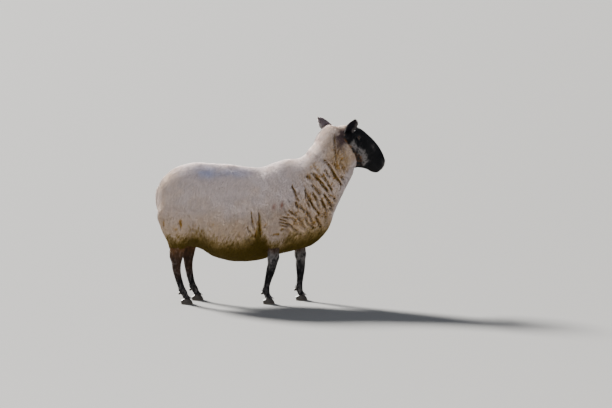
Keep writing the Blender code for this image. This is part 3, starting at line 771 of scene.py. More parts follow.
# open lines in the fleece: strength, and the line through x and z on the ewe's side
partings = (
    (1.0, ((0.264, 0.728), (0.284, 0.708), (0.304, 0.682), (0.319, 0.652), (0.334, 0.628),
            (0.349, 0.608), (0.364, 0.585))),
    (0.6, ((0.274, 0.672), (0.284, 0.652), (0.299, 0.64))),
    (0.9, ((0.259, 0.65), (0.274, 0.628), (0.289, 0.608), (0.299, 0.588), (0.314, 0.562))),
    (1.0, ((0.206, 0.665), (0.229, 0.638), (0.254, 0.613), (0.266, 0.593), (0.284, 0.573), (0.294, 0.557))),
    (0.5, ((0.179, 0.647), (0.199, 0.63), (0.219, 0.613))),
    (0.9, ((0.211, 0.598), (0.229, 0.578), (0.249, 0.552))),
    (0.8, ((0.214, 0.557), (0.224, 0.542), (0.234, 0.527))),
    (0.9, ((0.269, 0.557), (0.279, 0.537), (0.294, 0.517), (0.304, 0.497), (0.311, 0.482))),
    (0.7, ((0.294, 0.547), (0.314, 0.532), (0.329, 0.52))),
    (1.0, ((0.256, 0.525), (0.269, 0.497), (0.286, 0.47))),
    (1.0, ((0.171, 0.593), (0.184, 0.547), (0.204, 0.517), (0.214, 0.492), (0.234, 0.468), (0.254, 0.438))),
    (0.6, ((0.109, 0.598), (0.124, 0.568), (0.134, 0.542), (0.144, 0.517))),
    (0.6, ((0.129, 0.515), (0.139, 0.492))),
    (0.8, ((0.154, 0.495), (0.164, 0.478), (0.174, 0.468))),
    (0.7, ((0.184, 0.468), (0.194, 0.448), (0.204, 0.43), (0.214, 0.403))),
    (1.0, ((0.229, 0.435), (0.239, 0.413), (0.254, 0.383))),
    (0.9, ((0.096, 0.47), (0.114, 0.455), (0.134, 0.443))),
    (0.7, ((0.049, 0.448), (0.069, 0.439), (0.089, 0.435), (0.114, 0.428), (0.131, 0.413))),
    (0.7, ((0.174, 0.438), (0.184, 0.417), (0.191, 0.398))),
    (0.8, ((0.199, 0.398), (0.224, 0.378))),
    (0.7, ((0.094, 0.403), (0.114, 0.383), (0.134, 0.365))),
    (0.5, ((0.236, 0.51), (0.249, 0.487))),
    (0.7, ((0.354, 0.638), (0.374, 0.615))),
    (0.5, ((0.269, 0.453), (0.284, 0.427))),
    (0.5, ((0.359, 0.693), (0.374, 0.672))),
    (0.5, ((0.299, 0.478), (0.314, 0.468))),
    (0.6, ((0.051, 0.43), (0.079, 0.42))),
    (0.7, ((0.049, 0.415), (0.074, 0.408), (0.099, 0.395))),
    (0.6, ((0.054, 0.4), (0.084, 0.39))),
    (0.5, ((0.059, 0.38), (0.089, 0.372))),
    (0.6, ((0.144, 0.432), (0.154, 0.408))),
    (0.6, ((0.159, 0.408), (0.174, 0.383))),
    (0.42, ((-0.091, 0.475), (-0.088, 0.432), (-0.081, 0.398), (-0.071, 0.372))),
    (0.6, ((-0.054, 0.468), (-0.051, 0.422), (-0.048, 0.383), (-0.041, 0.348))),
    (0.3, ((-0.111, 0.393), (-0.101, 0.372))),
    (0.48, ((-0.069, 0.367), (-0.067, 0.343))),
    (0.4, ((0.314, 0.728), (0.319, 0.708), (0.329, 0.688))),
    (0.4, ((0.239, 0.578), (0.254, 0.562))),
    (0.5, ((0.189, 0.512), (0.199, 0.487))),
    (0.5, ((0.074, 0.465), (0.094, 0.448))),
    (0.4, ((0.318, 0.85), (0.324, 0.79), (0.33, 0.73), (0.334, 0.695))),
)

fleeceMarks = {
    "partingWidth": 0.002,
    "partingRun": 0.009,  # how far each parting runs on past the ends of its line
    "partingReach": (0.14, 0.16, 1.0),  # places further than this from a line's middle are left out
    "partingLean": 2.6,  # breadth over which the wool leans off a parting, against the parting's own
    # sides of the ewe from right to left: shift and stretch of the partings on each
    "sides": ((0.0, 1.0), (0.012, 1.02)),
    # edge of the dark underside through x and z, partly dirt and partly painted shade under the belly, and
    # where the darkening starts and is full, from that edge
    "dirtAndShadeEdge": ((-0.58, 0.338), (-0.48, 0.348), (-0.4, 0.362), (-0.33, 0.362), (-0.25, 0.326),
                 (-0.14, 0.34), (-0.08, 0.36), (-0.03, 0.366), (0.0, 0.318), (0.05, 0.312),
                 (0.1, 0.342), (0.2, 0.372), (0.32, 0.39)),
    "dirtAndShadeFade": (0.062, -0.084),
    # painted shadow in the crease behind the foreleg, through x and z
    "wedge": ((-0.05, 0.455), (-0.05, 0.4), (-0.056, 0.34), (-0.066, 0.29)),
    # front edge of the neck and chest, through x and z, where the wool is painted plain and pale as a painted
    # highlight
    "throat": ((0.43, 0.7), (0.398, 0.64), (0.372, 0.57), (0.345, 0.5), (0.322, 0.44)),
    # spots on the side: strength, x and its spread, z and its spread
    # painted shadow in the fold between the belly and the thigh
    "flankFoldShadow": (1.1, -0.368, 0.026, 0.312, 0.022),
    "neckCream": (0.45, 0.36, 0.07, 0.72, 0.08),
    # the neck's network of cracks is darkened partly as painted shade of their crevices
    "neckCracksAndShade": (0.62, 0.345, 0.058, 0.735, 0.088),
    "elbowSpeckle": (1.0, -0.09, 0.06, 0.36, 0.035),
    "thighSpeckle": (0.17, -0.43, 0.1, 0.415, 0.06),
    "blue": ((1.0, -0.32, 0.062, 0.658, 0.026), (0.6, -0.2, 0.1, 0.655, 0.022)),
    "rust": ((0.8, 0.02, 0.01, 0.492, 0.012), (1.0, 0.06, 0.007, 0.5, 0.014)),
}


def spot(points, strength, x, xSpread, z, zSpread):
    # a bell in x times a bell in z, right through the body
    return strength * bump(points[:, 0], x, xSpread) * bump(points[:, 2], z, zSpread)


def sideLine(points, line):
    # distance to a line through x and z, and the share along it
    flat = points * (1.0, 0.0, 1.0)
    return lineDistance(flat, np.insert(np.array(line), 1, 0.0, axis=1))[:2]


def partingMask(flat):
    # closeness to the partings in the fleece, and the way that the wool leans off them
    closeness = np.zeros(len(flat))
    lean = np.zeros((len(flat), 3))
    for strength, line in partings:
        line = np.array([(x, z, 0.0) for x, z in line])
        ends = line[[0, -1]] + fleeceMarks["partingRun"] * unit(line[[0, -1]] - line[[1, -2]])
        line = np.vstack([ends[:1], line[1:-1], ends[1:]])
        near = (np.abs(flat - line.mean(axis=0)) < fleeceMarks["partingReach"]).all(axis=1)
        if not near.any():
            continue
        distance, share, away = lineDistance(flat[near], line)
        wander = softNoise(flat[near], 0.011, 17)
        taper = 1 - 0.5 * np.abs(2 * share - 1) ** 3
        width = fleeceMarks["partingWidth"] * (0.55 + 0.5 * strength) * taper * (1 + 0.25 * wander)
        distance = np.abs(distance + 0.0006 * wander)
        value = (0.55 + 0.45 * strength) * bump(distance, 0.0, width)
        value *= smoothStep(0.0, 0.1, share) * smoothStep(1.0, 0.9, share)
        closeness[near] = np.maximum(closeness[near], value)
        pushed = bump(distance, 0.0, fleeceMarks["partingLean"] * width) * strength
        lean[near] += pushed[:, None] * np.stack([away[:, 0], 0 * share, away[:, 1]], axis=1)
    return closeness, lean


def sidePartings(points, right):
    # the partings of the right side, and the same a little moved on the left
    closeness, lean = 0.0, 0.0
    for share, (shift, stretch) in zip((right, 1 - right), fleeceMarks["sides"]):
        flat = np.stack([points[:, 0] + shift, points[:, 2] * stretch, 0 * points[:, 0]], axis=1)
        near, leaning = partingMask(flat)
        closeness = closeness + near * share
        lean = lean + leaning * share[:, None]
    return closeness, lean


def fleeceMasks(points):
    # dirt with painted shade, cream tint, partings with painted shade, blue patch, rusty spots and a painted
    # highlight, for places in the wool
    x, y, z = points.T
    patchy = softNoise(points, 0.06, 11) + 0.5 * softNoise(points, 0.022, 12)
    right = smoothStep(0.03, -0.05, y)
    # the underside darkens towards the bottom: partly dirt, partly painted shade beneath the belly
    edge = np.interp(x, *np.array(fleeceMarks["dirtAndShadeEdge"]).T)
    clumps = softNoise(points * (1.0, 1.0, 0.6), 0.013, 18)
    start, full = fleeceMarks["dirtAndShadeFade"]
    dirtAndShade = smoothStep(edge + start, edge + full, z + 0.012 * patchy + 0.016 * clumps)
    cells = softNoise(points * (1.0, 1.0, 0.45), 0.0085, 19)
    dirtAndShade = dirtAndShade + 0.85 * (smoothStep(0.3, -0.15, np.abs(cells)) - 0.35) * bump(z - edge, -0.01, 0.055)
    # painted shadow in the crease behind the foreleg
    gap, share = sideLine(points, fleeceMarks["wedge"])
    wedge = smoothStep(0.009 + 0.052 * share**1.5, 0.0, gap + 0.005 * patchy) * smoothStep(0.02, -0.03, y)
    dirtAndShade = np.maximum(dirtAndShade, 1.1 * (0.35 + 0.65 * share) * wedge)
    dirtAndShade = np.clip(np.maximum(dirtAndShade, spot(points, *fleeceMarks["flankFoldShadow"])), 0, 1)
    cream = 0.38 * smoothStep(0.06, 0.24, x + 0.25 * (0.6 - z)) + 0.6 * smoothStep(0.56, 0.36, z)
    cream = cream + spot(points, *fleeceMarks["neckCream"])
    cream = np.maximum(cream, 0.35 * smoothStep(-0.4, -0.52, x))
    cream = np.clip(cream + 0.2 * patchy, 0, 1)
    parting, lean = sidePartings(points, right)
    # fine clefts between the partings: narrow crests of a noise drawn out along them
    slant = np.stack([(0.64 * x - 0.77 * z) / 4.6, 0.77 * x + 0.64 * z, y / 1.6], axis=1)
    clefts = 0.7 * bump(softNoise(slant, 0.0105, 13), 0.0, 0.07)
    clefts *= smoothStep(0.1, 0.2, x + 0.3 * (0.62 - z))
    clefts *= smoothStep(0.79, 0.66, z) * smoothStep(0.36, 0.44, z)
    # the neck's network of cracks, partly painted shade of their crevices
    knots = softNoise(points * (1.0, 0.8, 0.75), 0.0105, 14)
    cracksAndShade = bump(knots, 0.0, 0.15) * spot(points, *fleeceMarks["neckCracksAndShade"])
    speckle = smoothStep(0.35, 0.75, softNoise(points * (1.0, 1.0, 0.6), 0.013, 15))
    speckle *= np.maximum(bump(z - edge, 0.045, 0.045) * 0.8, spot(points, *fleeceMarks["elbowSpeckle"]))
    streaks = smoothStep(0.3, 0.8, softNoise(points * (1, 1, 0.35), 0.012, 16))
    speckle = np.maximum(speckle, streaks * spot(points, *fleeceMarks["thighSpeckle"]))
    for fine in (clefts, cracksAndShade, 0.7 * speckle):
        parting = np.maximum(parting, fine)
    # painted highlight: the wool along the throat's front edge loses its cream and its partings
    throatHighlight = smoothStep(0.03, 0.004, sideLine(points, fleeceMarks["throat"])[0] + 0.004 * patchy)
    cream, parting = cream * (1 - throatHighlight), parting * (1 - 0.8 * throatHighlight)
    blue = np.max([spot(points, *place) for place in fleeceMarks["blue"]], axis=0) * right
    blue = np.clip(blue * (1 + 0.6 * patchy), 0, 1)
    rust = sum(spot(points, *place) for place in fleeceMarks["rust"])
    return {"dirtAndShade": dirtAndShade, "cream": cream, "parting": parting, "blue": blue, "rust": rust, "lean": lean}


faceMarks = {
    # pale hair on the cheek: centre line (forward, up) and half width, in the head's frame
    "cheekLine": ((0.03, -0.084), (0.06, -0.085), (0.095, -0.084), (0.13, -0.08), (0.16, -0.085),
                  (0.188, -0.096)),
    "cheekWidth": 0.0165,
    "cheekEnds": (0.018, 0.034, 0.19, 0.204),  # forward places at which the band fades in and out
    # flecks before the eye: forward place and spread, height and spread
    "flecks": (0.178, 0.018, -0.006, 0.016),
    # dusky wool behind the jaw: strength, forward place and spread, height and spread in the head's frame
    "nape": ((1.0, -0.026, 0.03, -0.086, 0.04), (0.45, -0.012, 0.03, -0.13, 0.04)),
    "throatShade": (0.2, 0.372, 0.045, 0.735, 0.075),  # strength, x and its spread, z and its spread
}


def faceMasks(points):
    # pale, pinkish, woolly and dusky shares of the short hair, in the head's frame
    head = toHead(points)
    forward, out, up = head.T
    middle = np.interp(forward, *np.array(faceMarks["cheekLine"]).T)
    fadeIn, full, fading, gone = faceMarks["cheekEnds"]
    ends = smoothStep(fadeIn, full, forward) * smoothStep(gone, fading, forward)
    grain = softNoise(points, 0.0065, 21) + 0.7 * softNoise(points, 0.0032, 22)
    ragged = 0.01 * softNoise(points, 0.02, 23) + 0.004 * grain
    width = faceMarks["cheekWidth"]
    band = smoothStep(width + 0.003, width - 0.005, np.abs(up - middle) + ragged) * ends
    sideways = smoothStep(0.012, 0.026, np.abs(out))
    pale = band * sideways * smoothStep(-0.55, 0.45, grain + 0.3)
    place, spread, height, heightSpread = faceMarks["flecks"]
    flecks = smoothStep(0.05, 0.65, softNoise(points, 0.007, 24))
    flecks *= bump(forward, place, spread) * bump(up, height, heightSpread)
    flecks = np.maximum(flecks, 0.3 * smoothStep(0.55, 0.85, grain) * smoothStep(0.23, 0.19, forward))
    pale = np.maximum(pale, 0.65 * flecks * sideways)
    # pinkish hair below the cheek's line, thinner towards the throat
    pink = smoothStep(middle + 0.004, middle - 0.016, up) * smoothStep(0.205, 0.17, forward) * sideways
    pink *= smoothStep(-0.175, -0.12, up) * (0.35 + 0.65 * smoothStep(-0.112, -0.095, up))
    pink *= smoothStep(-0.35, 0.55, softNoise(points, 0.011, 28) + 0.5 * grain)
    gap = borderDistance(points)
    behind = smoothStep(-0.006, 0.005, gap + 0.004 * grain)
    nape = np.max([strength * bump(forward, place, spread) * bump(up, height, heightSpread)
                   for strength, place, spread, height, heightSpread in faceMarks["nape"]], axis=0)
    nape = np.clip(1.9 * nape * smoothStep(-0.6, 0.3, softNoise(points, 0.01, 25) + 0.35), 0, 1)
    # painted shade: the wool darkens along the face's border and behind the cheek
    nape = np.maximum(nape, 0.42 * smoothStep(0.022, 0.002, gap) * smoothStep(-0.5, 0.5, grain + 0.2))
    nape = np.maximum(nape, spot(points, *faceMarks["throatShade"]))
    nape *= smoothStep(0.03, 0.055, np.abs(out))
    return {"pale": np.clip(pale, 0, 1), "pink": np.clip(pink, 0, 1), "woolly": behind, "nape": nape}


legMarks = {
    # pale hair: height and spread at the knee, and heights between which it fades on the shin and the foot
    "knee": (0.232, 0.034),
    "shinFade": (0.03, 0.1),
    "footFade": (0.1, 0.05),
}


def legMasks(points):
    # pale and pinkish shares of the short hair on the legs; front is the forelegs, near the right side
    x, y, z = points.T
    front, near = (x > -0.2) * 1.0, (y < 0) * 1.0
    grain = softNoise(points, 0.0085, 31) + 0.7 * softNoise(points, 0.004, 32)
    knee = bump(z, *legMarks["knee"]) * smoothStep(-0.4, 0.5, grain + 0.3)
    shin = 0.3 * smoothStep(0.25, 0.75, grain) * smoothStep(*legMarks["shinFade"], z)
    foot = 0.45 * smoothStep(*legMarks["footFade"], z) * smoothStep(-0.3, 0.5, grain)
    pale = knee * front * (0.85 - 0.15 * near) + shin * (0.7 + 0.3 * near) + foot
    pink = smoothStep(0.235, 0.28, z) * (0.35 + 0.45 * (1 - near)) * front
    pink = pink + (1 - front) * (0.22 + 0.45 * smoothStep(0.22, 0.28, z)) * smoothStep(0.1, 0.18, z)
    pink = pink * np.clip(0.8 + 0.5 * grain, 0, 1)
    return {"pale": np.clip(pale, 0, 1), "pink": np.clip(pink, 0, 1)}


earMarks = {
    # shares of pale dots, pink and purple on the left ear (1) and on the right (-1); the left ear's paler,
    # purpler hair is painted light, both ears' own hair being alike
    "litDots": {1: 0.3, -1: 0.0},
    "pink": {1: 0.12, -1: 0.0},
    "litPurple": {1: 0.85, -1: 0.15},
}


def earMasks(points):
    # how far each place belongs to an ear, and the pale, pinkish and purplish shares of its hair; the pale
    # rims and the left ear's lighter tints are painted light
    head = toHead(points)
    ear, pale, pink, litPurple = np.zeros((4, len(points)))
    grain = softNoise(points, 0.0055, 26) + 0.6 * softNoise(points, 0.0026, 27)
    litDots = smoothStep(-0.55, 0.25, grain + 0.3)
    for side in (1, -1):
        root, tip, axis, opening, across = earFrame(side)
        length = np.linalg.norm(tip - root)
        away = head - root
        share = away @ axis / length
        width = 0.5 * ears["widths"][side] * np.maximum(leafWidth(side, np.clip(share, 0, 1)), 0.05)
        reach = np.linalg.norm(away - np.outer(share * length, axis), axis=1)
        mine = smoothStep(0.1, 0.22, share) * smoothStep(1.12, 1.06, share)
        mine = mine * (reach < 0.034) * (head[:, 1] * side > 0.05)
        # painted highlight: pale hair on the ear's rims, most of all the rear rim
        rim = smoothStep(0.5, 0.82, np.abs(away @ across) / width)
        rim = np.maximum(rim, smoothStep(0.88, 0.99, share))
        rearRimHighlight = rim * smoothStep(0.2, -0.2, (away @ across) * across[0] / width)
        lit = earMarks["litDots"][side] * litDots + (0.6 * rim + rearRimHighlight) * smoothStep(-0.6, 0.3, grain)
        rosy = earMarks["pink"][side] + 0.04 * smoothStep(0.0, 0.006, away @ opening + 0.01)
        ear = np.maximum(ear, mine)
        pale = np.where(mine > 0, np.clip(lit, 0, 1), pale)
        pink = np.where(mine > 0, rosy, pink)
        litPurple = np.where(mine > 0, earMarks["litPurple"][side] * litDots, litPurple)
    return ear, pale, pink, litPurple


maskVectors = {
    "fleeceMask": ("dirtAndShade", "cream", "parting"),
    "markMask": ("blue", "rust", "woolly"),
    "hairMask": ("pale", "pink", "nape"),
}


def allMasks(points, region):
    # the masks of one region, for places on its surface
    empty = np.zeros(len(points))
    masks = {**dict.fromkeys(itertools.chain(*maskVectors.values()), empty), **fleeceMasks(points)}
    if region in ("spine", "skin"):
        masks.update(faceMasks(points))
    if region == "wool":
        masks["woolly"] = empty + 1
        masks["nape"] = faceMasks(points)["nape"]
    if region == "leg":
        masks.update(legMasks(points))
    if region == "ear":
        _, masks["pale"], masks["pink"], masks["blue"] = earMasks(points)
    if region == "skin":
        cuff = legDetail["cuff"]
        low = (points[:, 2] < cuff + 0.02) & (points[:, 0] < 0.24)
        legs = {**legMasks(points), "woolly": smoothStep(cuff - 0.01, cuff + 0.004, points[:, 2])}
        masks.update({key: np.where(low, value, masks[key]) for key, value in legs.items()})
        ear, pale, pink, litPurple = earMasks(points)
        for key, value in (("blue", litPurple), ("pale", pale), ("pink", pink), ("woolly", 0.0)):
            masks[key] = masks[key] * (1 - ear) + value * ear
    return masks


def storeMasks(mesh, masks, owner=slice(None)):
    # the masks as three vectors, picked for each point by its owner
    for name, keys in maskVectors.items():
        storeVector(mesh, name, np.stack([masks[key] for key in keys], axis=1)[owner])


def storeLock(mesh, along, shade, across):
    # along runs from 0 at the root to 1 at the tip, across from 0 to 1 over its width,
    # and shade is one number from 0 to 1 for each lock
    storeVector(mesh, "lock", np.stack([along, shade, across], axis=1))


skinPoints = meshPoints(skin.data)
storeMasks(skin.data, allMasks(skinPoints, "skin"))
storeLock(skin.data, np.zeros(len(skinPoints)), np.full(len(skinPoints), 0.5), np.full(len(skinPoints), 0.5))


scatterJitter = 0.55  # random share of the step from one lock to the next


def scatterPlaces(grid, spacing, random):
    # one place for each spacing by spacing of surface: rings of cells are grouped to a spacing's height,
    # and places follow each other round a group at equal steps of area, with a random part
    across = grid[1:] - grid[:-1]
    nextColumn = np.roll(grid, -1, axis=1)
    first = np.cross(across, nextColumn[:-1] - grid[:-1])
    second = np.cross(nextColumn[1:] - nextColumn[:-1], nextColumn[1:] - grid[1:])
    areas = (np.linalg.norm(first, axis=2) + np.linalg.norm(second, axis=2)) / 2
    heights = np.linalg.norm(across, axis=2).mean(axis=1)
    group = np.floor(np.cumsum(heights) / spacing - 0.5 * heights / spacing).astype(int)
    rows, columns = [], []
    for number in np.unique(group):
        members = np.nonzero(group == number)[0]
        total = np.concatenate([[0.0], np.cumsum(areas[members].sum(axis=0) / spacing**2)])
        count = int(round(total[-1]))
        if count < 1:
            continue
        steps = np.arange(count) + random.random() + scatterJitter * (random.random(count) - 0.5)
        steps = steps % count * total[-1] / count
        columns.append(np.interp(steps, total, np.arange(len(total))))
        rows.append(members[0] + random.random(count) * len(members))
    return np.concatenate(rows), np.concatenate(columns)


def onGrid(grid, rows, columns):
    # values between the grid's points, round the ring in the columns
    r = np.clip(np.floor(rows).astype(int), 0, grid.shape[0] - 2)
    c = np.floor(columns).astype(int) % grid.shape[1]
    d = (c + 1) % grid.shape[1]
    s = np.clip(rows - r, 0, 1)
    t = columns - np.floor(columns)
    if grid.ndim == 3:
        s, t = s[:, None], t[:, None]
    here = grid[r, c] * (1 - t) + grid[r, d] * t
    there = grid[r + 1, c] * (1 - t) + grid[r + 1, d] * t
    return here * (1 - s) + there * s


skinTree = BVHTree.FromObject(skin, bpy.context.evaluated_depsgraph_get())


def onSkin(points, reach=0.0045):
    # the nearest places on the joined skin, and whether each is near enough, not inside another part of it
    places = points.tolist()
    found = [skinTree.find_nearest(place, reach)[0] for place in places]
    nearest = [place if hit is None else tuple(hit) for hit, place in zip(found, places)]
    return np.array(nearest), np.array([hit is not None for hit in found])


def plantLocks(grid, spacing, random, chosen=None, firstRow=0):
    # rows, columns and roots of the locks over a grid of rings: chosen picks among the places on the grid,
    # and those that remain are moved onto the joined skin
    rows, columns = scatterPlaces(grid[firstRow:], spacing, random)
    rows = rows + firstRow
    roots = onGrid(grid, rows, columns)
    keep = np.ones(len(roots), bool) if chosen is None else chosen(roots)
    roots[keep], keep[keep] = onSkin(roots[keep])
    return rows[keep], columns[keep], roots[keep]


def turned(vectors, axes, angle):
    # each vector turned about its unit axis
    cosine, sine = np.cos(angle)[:, None], np.sin(angle)[:, None]
    return vectors * cosine + np.cross(axes, vectors) * sine


# root, bend and tip of a lock: share of its height, share of its reach
woolShape = {"root": (0.1, 0.0), "bend": (0.94, 0.27), "tip": (0.99, 1.0), "along": (0.0, 0.4, 1.0)}
hairShape = {"root": (-0.4, 0.0), "bend": (0.75, 0.42), "tip": (0.95, 1.0), "along": (0.0, 0.5, 1.0)}


patchSize = 0.003  # side of each lock's patch on the OFBake map


def lockMesh(name, shape, coat, masks):
    # closed spindles: a root point, three points round the bend and a tip point
    roots, normals, lies = coat["roots"], coat["normals"], coat["lies"]
    sides = unit(np.cross(lies, normals))
    rise, reach = coat["rise"][:, None], coat["reach"][:, None]
    first, bend, tip = (roots + normals * rise * shape[key][0] + lies * reach * shape[key][1]
                        for key in ("root", "bend", "tip"))
    bend = bend + sides * reach * coat["sway"][:, None]
    edge = sides * coat["halfWidth"][:, None]
    crest = normals * coat["thick"][:, None]
    places = np.stack([first, bend - edge, bend + edge, bend + crest, tip], axis=1).reshape(-1, 3)
    count, each = len(roots), 5
    faces = np.array([(0, 2, 1), (0, 3, 2), (0, 1, 3), (4, 1, 2), (4, 2, 3), (4, 3, 1)])
    corners = (np.arange(count)[:, None] * each + faces.ravel()[None, :]).ravel().astype(np.int32)
    mesh = bpy.data.meshes.new(name)
    mesh.vertices.add(count * each)
    mesh.vertices.foreach_set("co", places.astype(np.float32).ravel())
    mesh.loops.add(len(corners))
    mesh.loops.foreach_set("vertex_index", corners)
    mesh.polygons.add(len(corners) // 3)
    mesh.polygons.foreach_set("loop_start", np.arange(0, len(corners), 3, dtype=np.int32))
    mesh.polygons.foreach_set("loop_total", np.full(len(corners) // 3, 3, np.int32))
    mesh.update(calc_edges=True)
    if signedVolume(mesh) < 0:
        mesh.flip_normals()
        mesh.loops.foreach_get("vertex_index", corners)
    mesh.shade_smooth()
    # masks hold one value for each lock, or one each for its root, bend and tip
    perLock = len(masks["dirtAndShade"]) // count
    level = np.array((0, 1, 1, 1, 2)) if perLock > 1 else np.zeros(each, int)
    storeMasks(mesh, masks, (perLock * np.arange(count)[:, None] + level).ravel())
    start, middle, end = shape["along"]
    along = np.array((start, middle, middle, middle, end))
    across = np.array((0.5, 0.0, 1.0, 0.5, 0.5))
    storeLock(mesh, np.tile(along, count), np.repeat(coat["shade"], each), np.tile(across, count))
    patch = patchSize * (np.stack([across, along], axis=1) - 0.5)
    chart = np.repeat(coat["chart"], each, axis=0) + np.tile(patch, (count, 1))
    layer = mesh.uv_layers.new(name="OFBake")
    layer.data.foreach_set("uv", chart[corners].astype(np.float32).ravel())
    piece = addPiece(name, mesh)
    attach(piece, "root")
    return piece


def normalsAt(normals, rows, columns):
    return unit(onGrid(normals, rows, columns))


def chartPlaces(rows, columns, grid, firstRow, lastRow):
    # place on the unrolled loft: round the ring, and along it between two rows
    u = columns / grid.shape[1]
    v = np.clip((rows - firstRow) / max(lastRow - firstRow, 1), 0, 1)
    margin = patchSize + 0.001
    return margin + (1 - 2 * margin) * np.stack([u, v], axis=1)


def legChart(number, rows, columns, grid):
    # each leg's unrolled loft fills a quarter of the map
    corner = np.array((number % 2, number // 2))
    return 0.5 * (chartPlaces(rows, columns, grid, 0, grid.shape[0]) + corner)


fleece = {
    "spacing": 0.0027,
    "legSpacing": 0.0027 * 0.92,
    "tailSpacing": 0.0027 * 0.9,
    "halfWidth": 0.0018,
    "thick": 0.0009,
    "reach": 0.024,  # how far a lock lies along the body
    "spread": 9.0,  # random turn of a lock, in degrees
    "drift": 13.0,  # turn shared by neighbouring locks, in degrees
    "dip": 0.8,  # share of its height that a lock loses in a parting
    "least": 0.3,  # least share of the full depth that a lock's size is worked out from
    "wave": (0.0011, 0.0003),  # height that neighbouring locks share, and each lock's own
    "tuck": 0.0012,  # how far the locks stay under the coat's outer surface
    "sway": 0.09,
    "leaning": 0.7,  # how strongly the locks beside a parting turn away from it
    "shortening": 0.4,  # share of their reach that they lose
    "rootShift": 0.0008,
    "crossing": 0.3,  # closeness to a parting at which a lock ends
    "standing": (0.005, 0.222, 0.03, 0.765, 0.03),  # fuller tuft before the withers
    "tailEnd": (0.462, 0.032),  # height and spread of the longer locks under the tail
    "cuffRaggedness": 0.006,
}


def woolLie(points, normals):
    # the wool lies down and back over the body, and slants back along the neck
    neck = smoothStep(0.16, 0.3, points[:, 0])[:, None]
    fall = np.array([-0.42, 0.0, -1.0]) * (1 - neck) + np.array([-0.62, 0.0, -0.8]) * neck
    return unit(fall - normals * (fall * normals).sum(axis=1, keepdims=True))


def woolCoat(roots, normals, depth, chart, random, finer=1.0):
    # the settings of each wool lock from its place
    surface = roots + normals * depth[:, None]
    masks = allMasks(surface, "wool")
    lies = woolLie(roots, normals)
    lean = masks.pop("lean")
    nearParting = np.clip(np.linalg.norm(lean, axis=1), 0, 1)
    lean = lean - normals * (lean * normals).sum(axis=1, keepdims=True)
    lies = unit(lies + fleece["leaning"] * lean)
    drift = fleece["drift"] * softNoise(roots, 0.045, 41)
    drift = drift + fleece["spread"] * random.standard_normal(len(roots))
    lies = turned(lies, normals, np.radians(drift))
    grown = np.clip(depth / woolLimits["wool"], fleece["least"], 1.0)
    depth = depth + spot(roots, *fleece["standing"])
    tailEnd = bump(roots[:, 2], *fleece["tailEnd"]) * smoothStep(-0.49, -0.53, roots[:, 0])
    shared, own = fleece["wave"]
    wave = shared * softNoise(roots, 0.026, 42) + own * random.standard_normal(len(roots))
    sunk = 1 - fleece["dip"] * np.clip(masks["parting"], 0, 1)
    size = np.sqrt(grown) * finer
    reach = fleece["reach"] * size * (0.85 + 0.3 * random.random(len(roots)))
    reach *= (1 - fleece["shortening"] * np.maximum(nearParting, 1 - sunk)) * (1 + tailEnd)
    # a lock that would cross a parting ends at it
    right = smoothStep(0.03, -0.05, surface[:, 1])
    clear = np.ones(len(roots))
    for share in (1.0, 0.8, 0.6, 0.4, 0.25):
        closeness = sidePartings(surface + lies * (reach * share)[:, None], right)[0]
        clear = np.where(closeness > fleece["crossing"], share - 0.05, clear)
    reach *= np.where(masks["parting"] > fleece["crossing"], 1.0, clear)
    # the masks along each lock: at its root, its bend and its tip
    further = [allMasks(surface + lies * (reach * forward)[:, None], "wool")
               for forward in (woolShape["bend"][1], woolShape["tip"][1])]
    masks = {key: np.stack([value] + [other[key] for other in further], axis=1).ravel()
             for key, value in masks.items()}
    return {
        "roots": roots + lean * fleece["rootShift"], "normals": normals, "lies": lies,
        "rise": (depth - fleece["tuck"] * grown + wave * grown) * sunk,
        "reach": reach,
        "halfWidth": fleece["halfWidth"] * size * (0.8 + 0.4 * random.random(len(roots))),
        "thick": fleece["thick"] * size * (0.8 + 0.4 * random.random(len(roots))),
        "sway": fleece["sway"] * random.standard_normal(len(roots)),
        "shade": random.random(len(roots)),
        "chart": chart,
    }, masks


print("ewe: wool")
random = np.random.default_rng(7)
rows, columns, roots = plantLocks(spineSkin, fleece["spacing"], random,
                                  lambda places: borderDistance(places) > -0.0035)
normals, depth = normalsAt(spineNormal, rows, columns), onGrid(spineDepth, rows, columns)
woolPieces = []
for number, part in enumerate(np.array_split(np.argsort(rows, kind="stable"), 6)):
    chart = chartPlaces(rows[part], columns[part], spineSkin, rows[part].min(), rows[part].max())
    coat, masks = woolCoat(roots[part], normals[part], depth[part], chart, random)
    woolPieces.append(lockMesh(f"wool_{number + 1}", woolShape, coat, masks))
print("ewe: wool locks", len(roots))


def aboveCuff(places):
    # where the legs carry wool, down to a ragged edge
    return places[:, 2] > legDetail["cuff"] + fleece["cuffRaggedness"] * softNoise(places, 0.01, 43)


parts = {"fore": [], "hind": []}
for number, (name, grid) in enumerate(legSkin.items()):
    rows, columns, roots = plantLocks(grid, fleece["legSpacing"], random, aboveCuff)
    normals, depth = normalsAt(legNormal[name], rows, columns), onGrid(legDepth[name], rows, columns)
    parts[name.split("_")[0]].append((roots, normals, depth, legChart(number, rows, columns, grid)))
tailGrid = tailSurface(tail["wool"])
rows, columns, roots = plantLocks(tailGrid, fleece["tailSpacing"], random)
normals, depth = normalsAt(gridNormals(tailGrid), rows, columns), np.full(len(roots), tail["wool"])
chart = 0.1 * chartPlaces(rows, columns, tailGrid, 0, tail["rows"])
parts["hind"].append((roots, normals, depth, chart))
for name, chosen in parts.items():
    coat, masks = woolCoat(*(np.concatenate(values) for values in zip(*chosen)), random, 0.9)
    woolPieces.append(lockMesh(f"wool_{name}_legs", woolShape, coat, masks))
    print("ewe: leg wool locks", name, len(coat["roots"]))


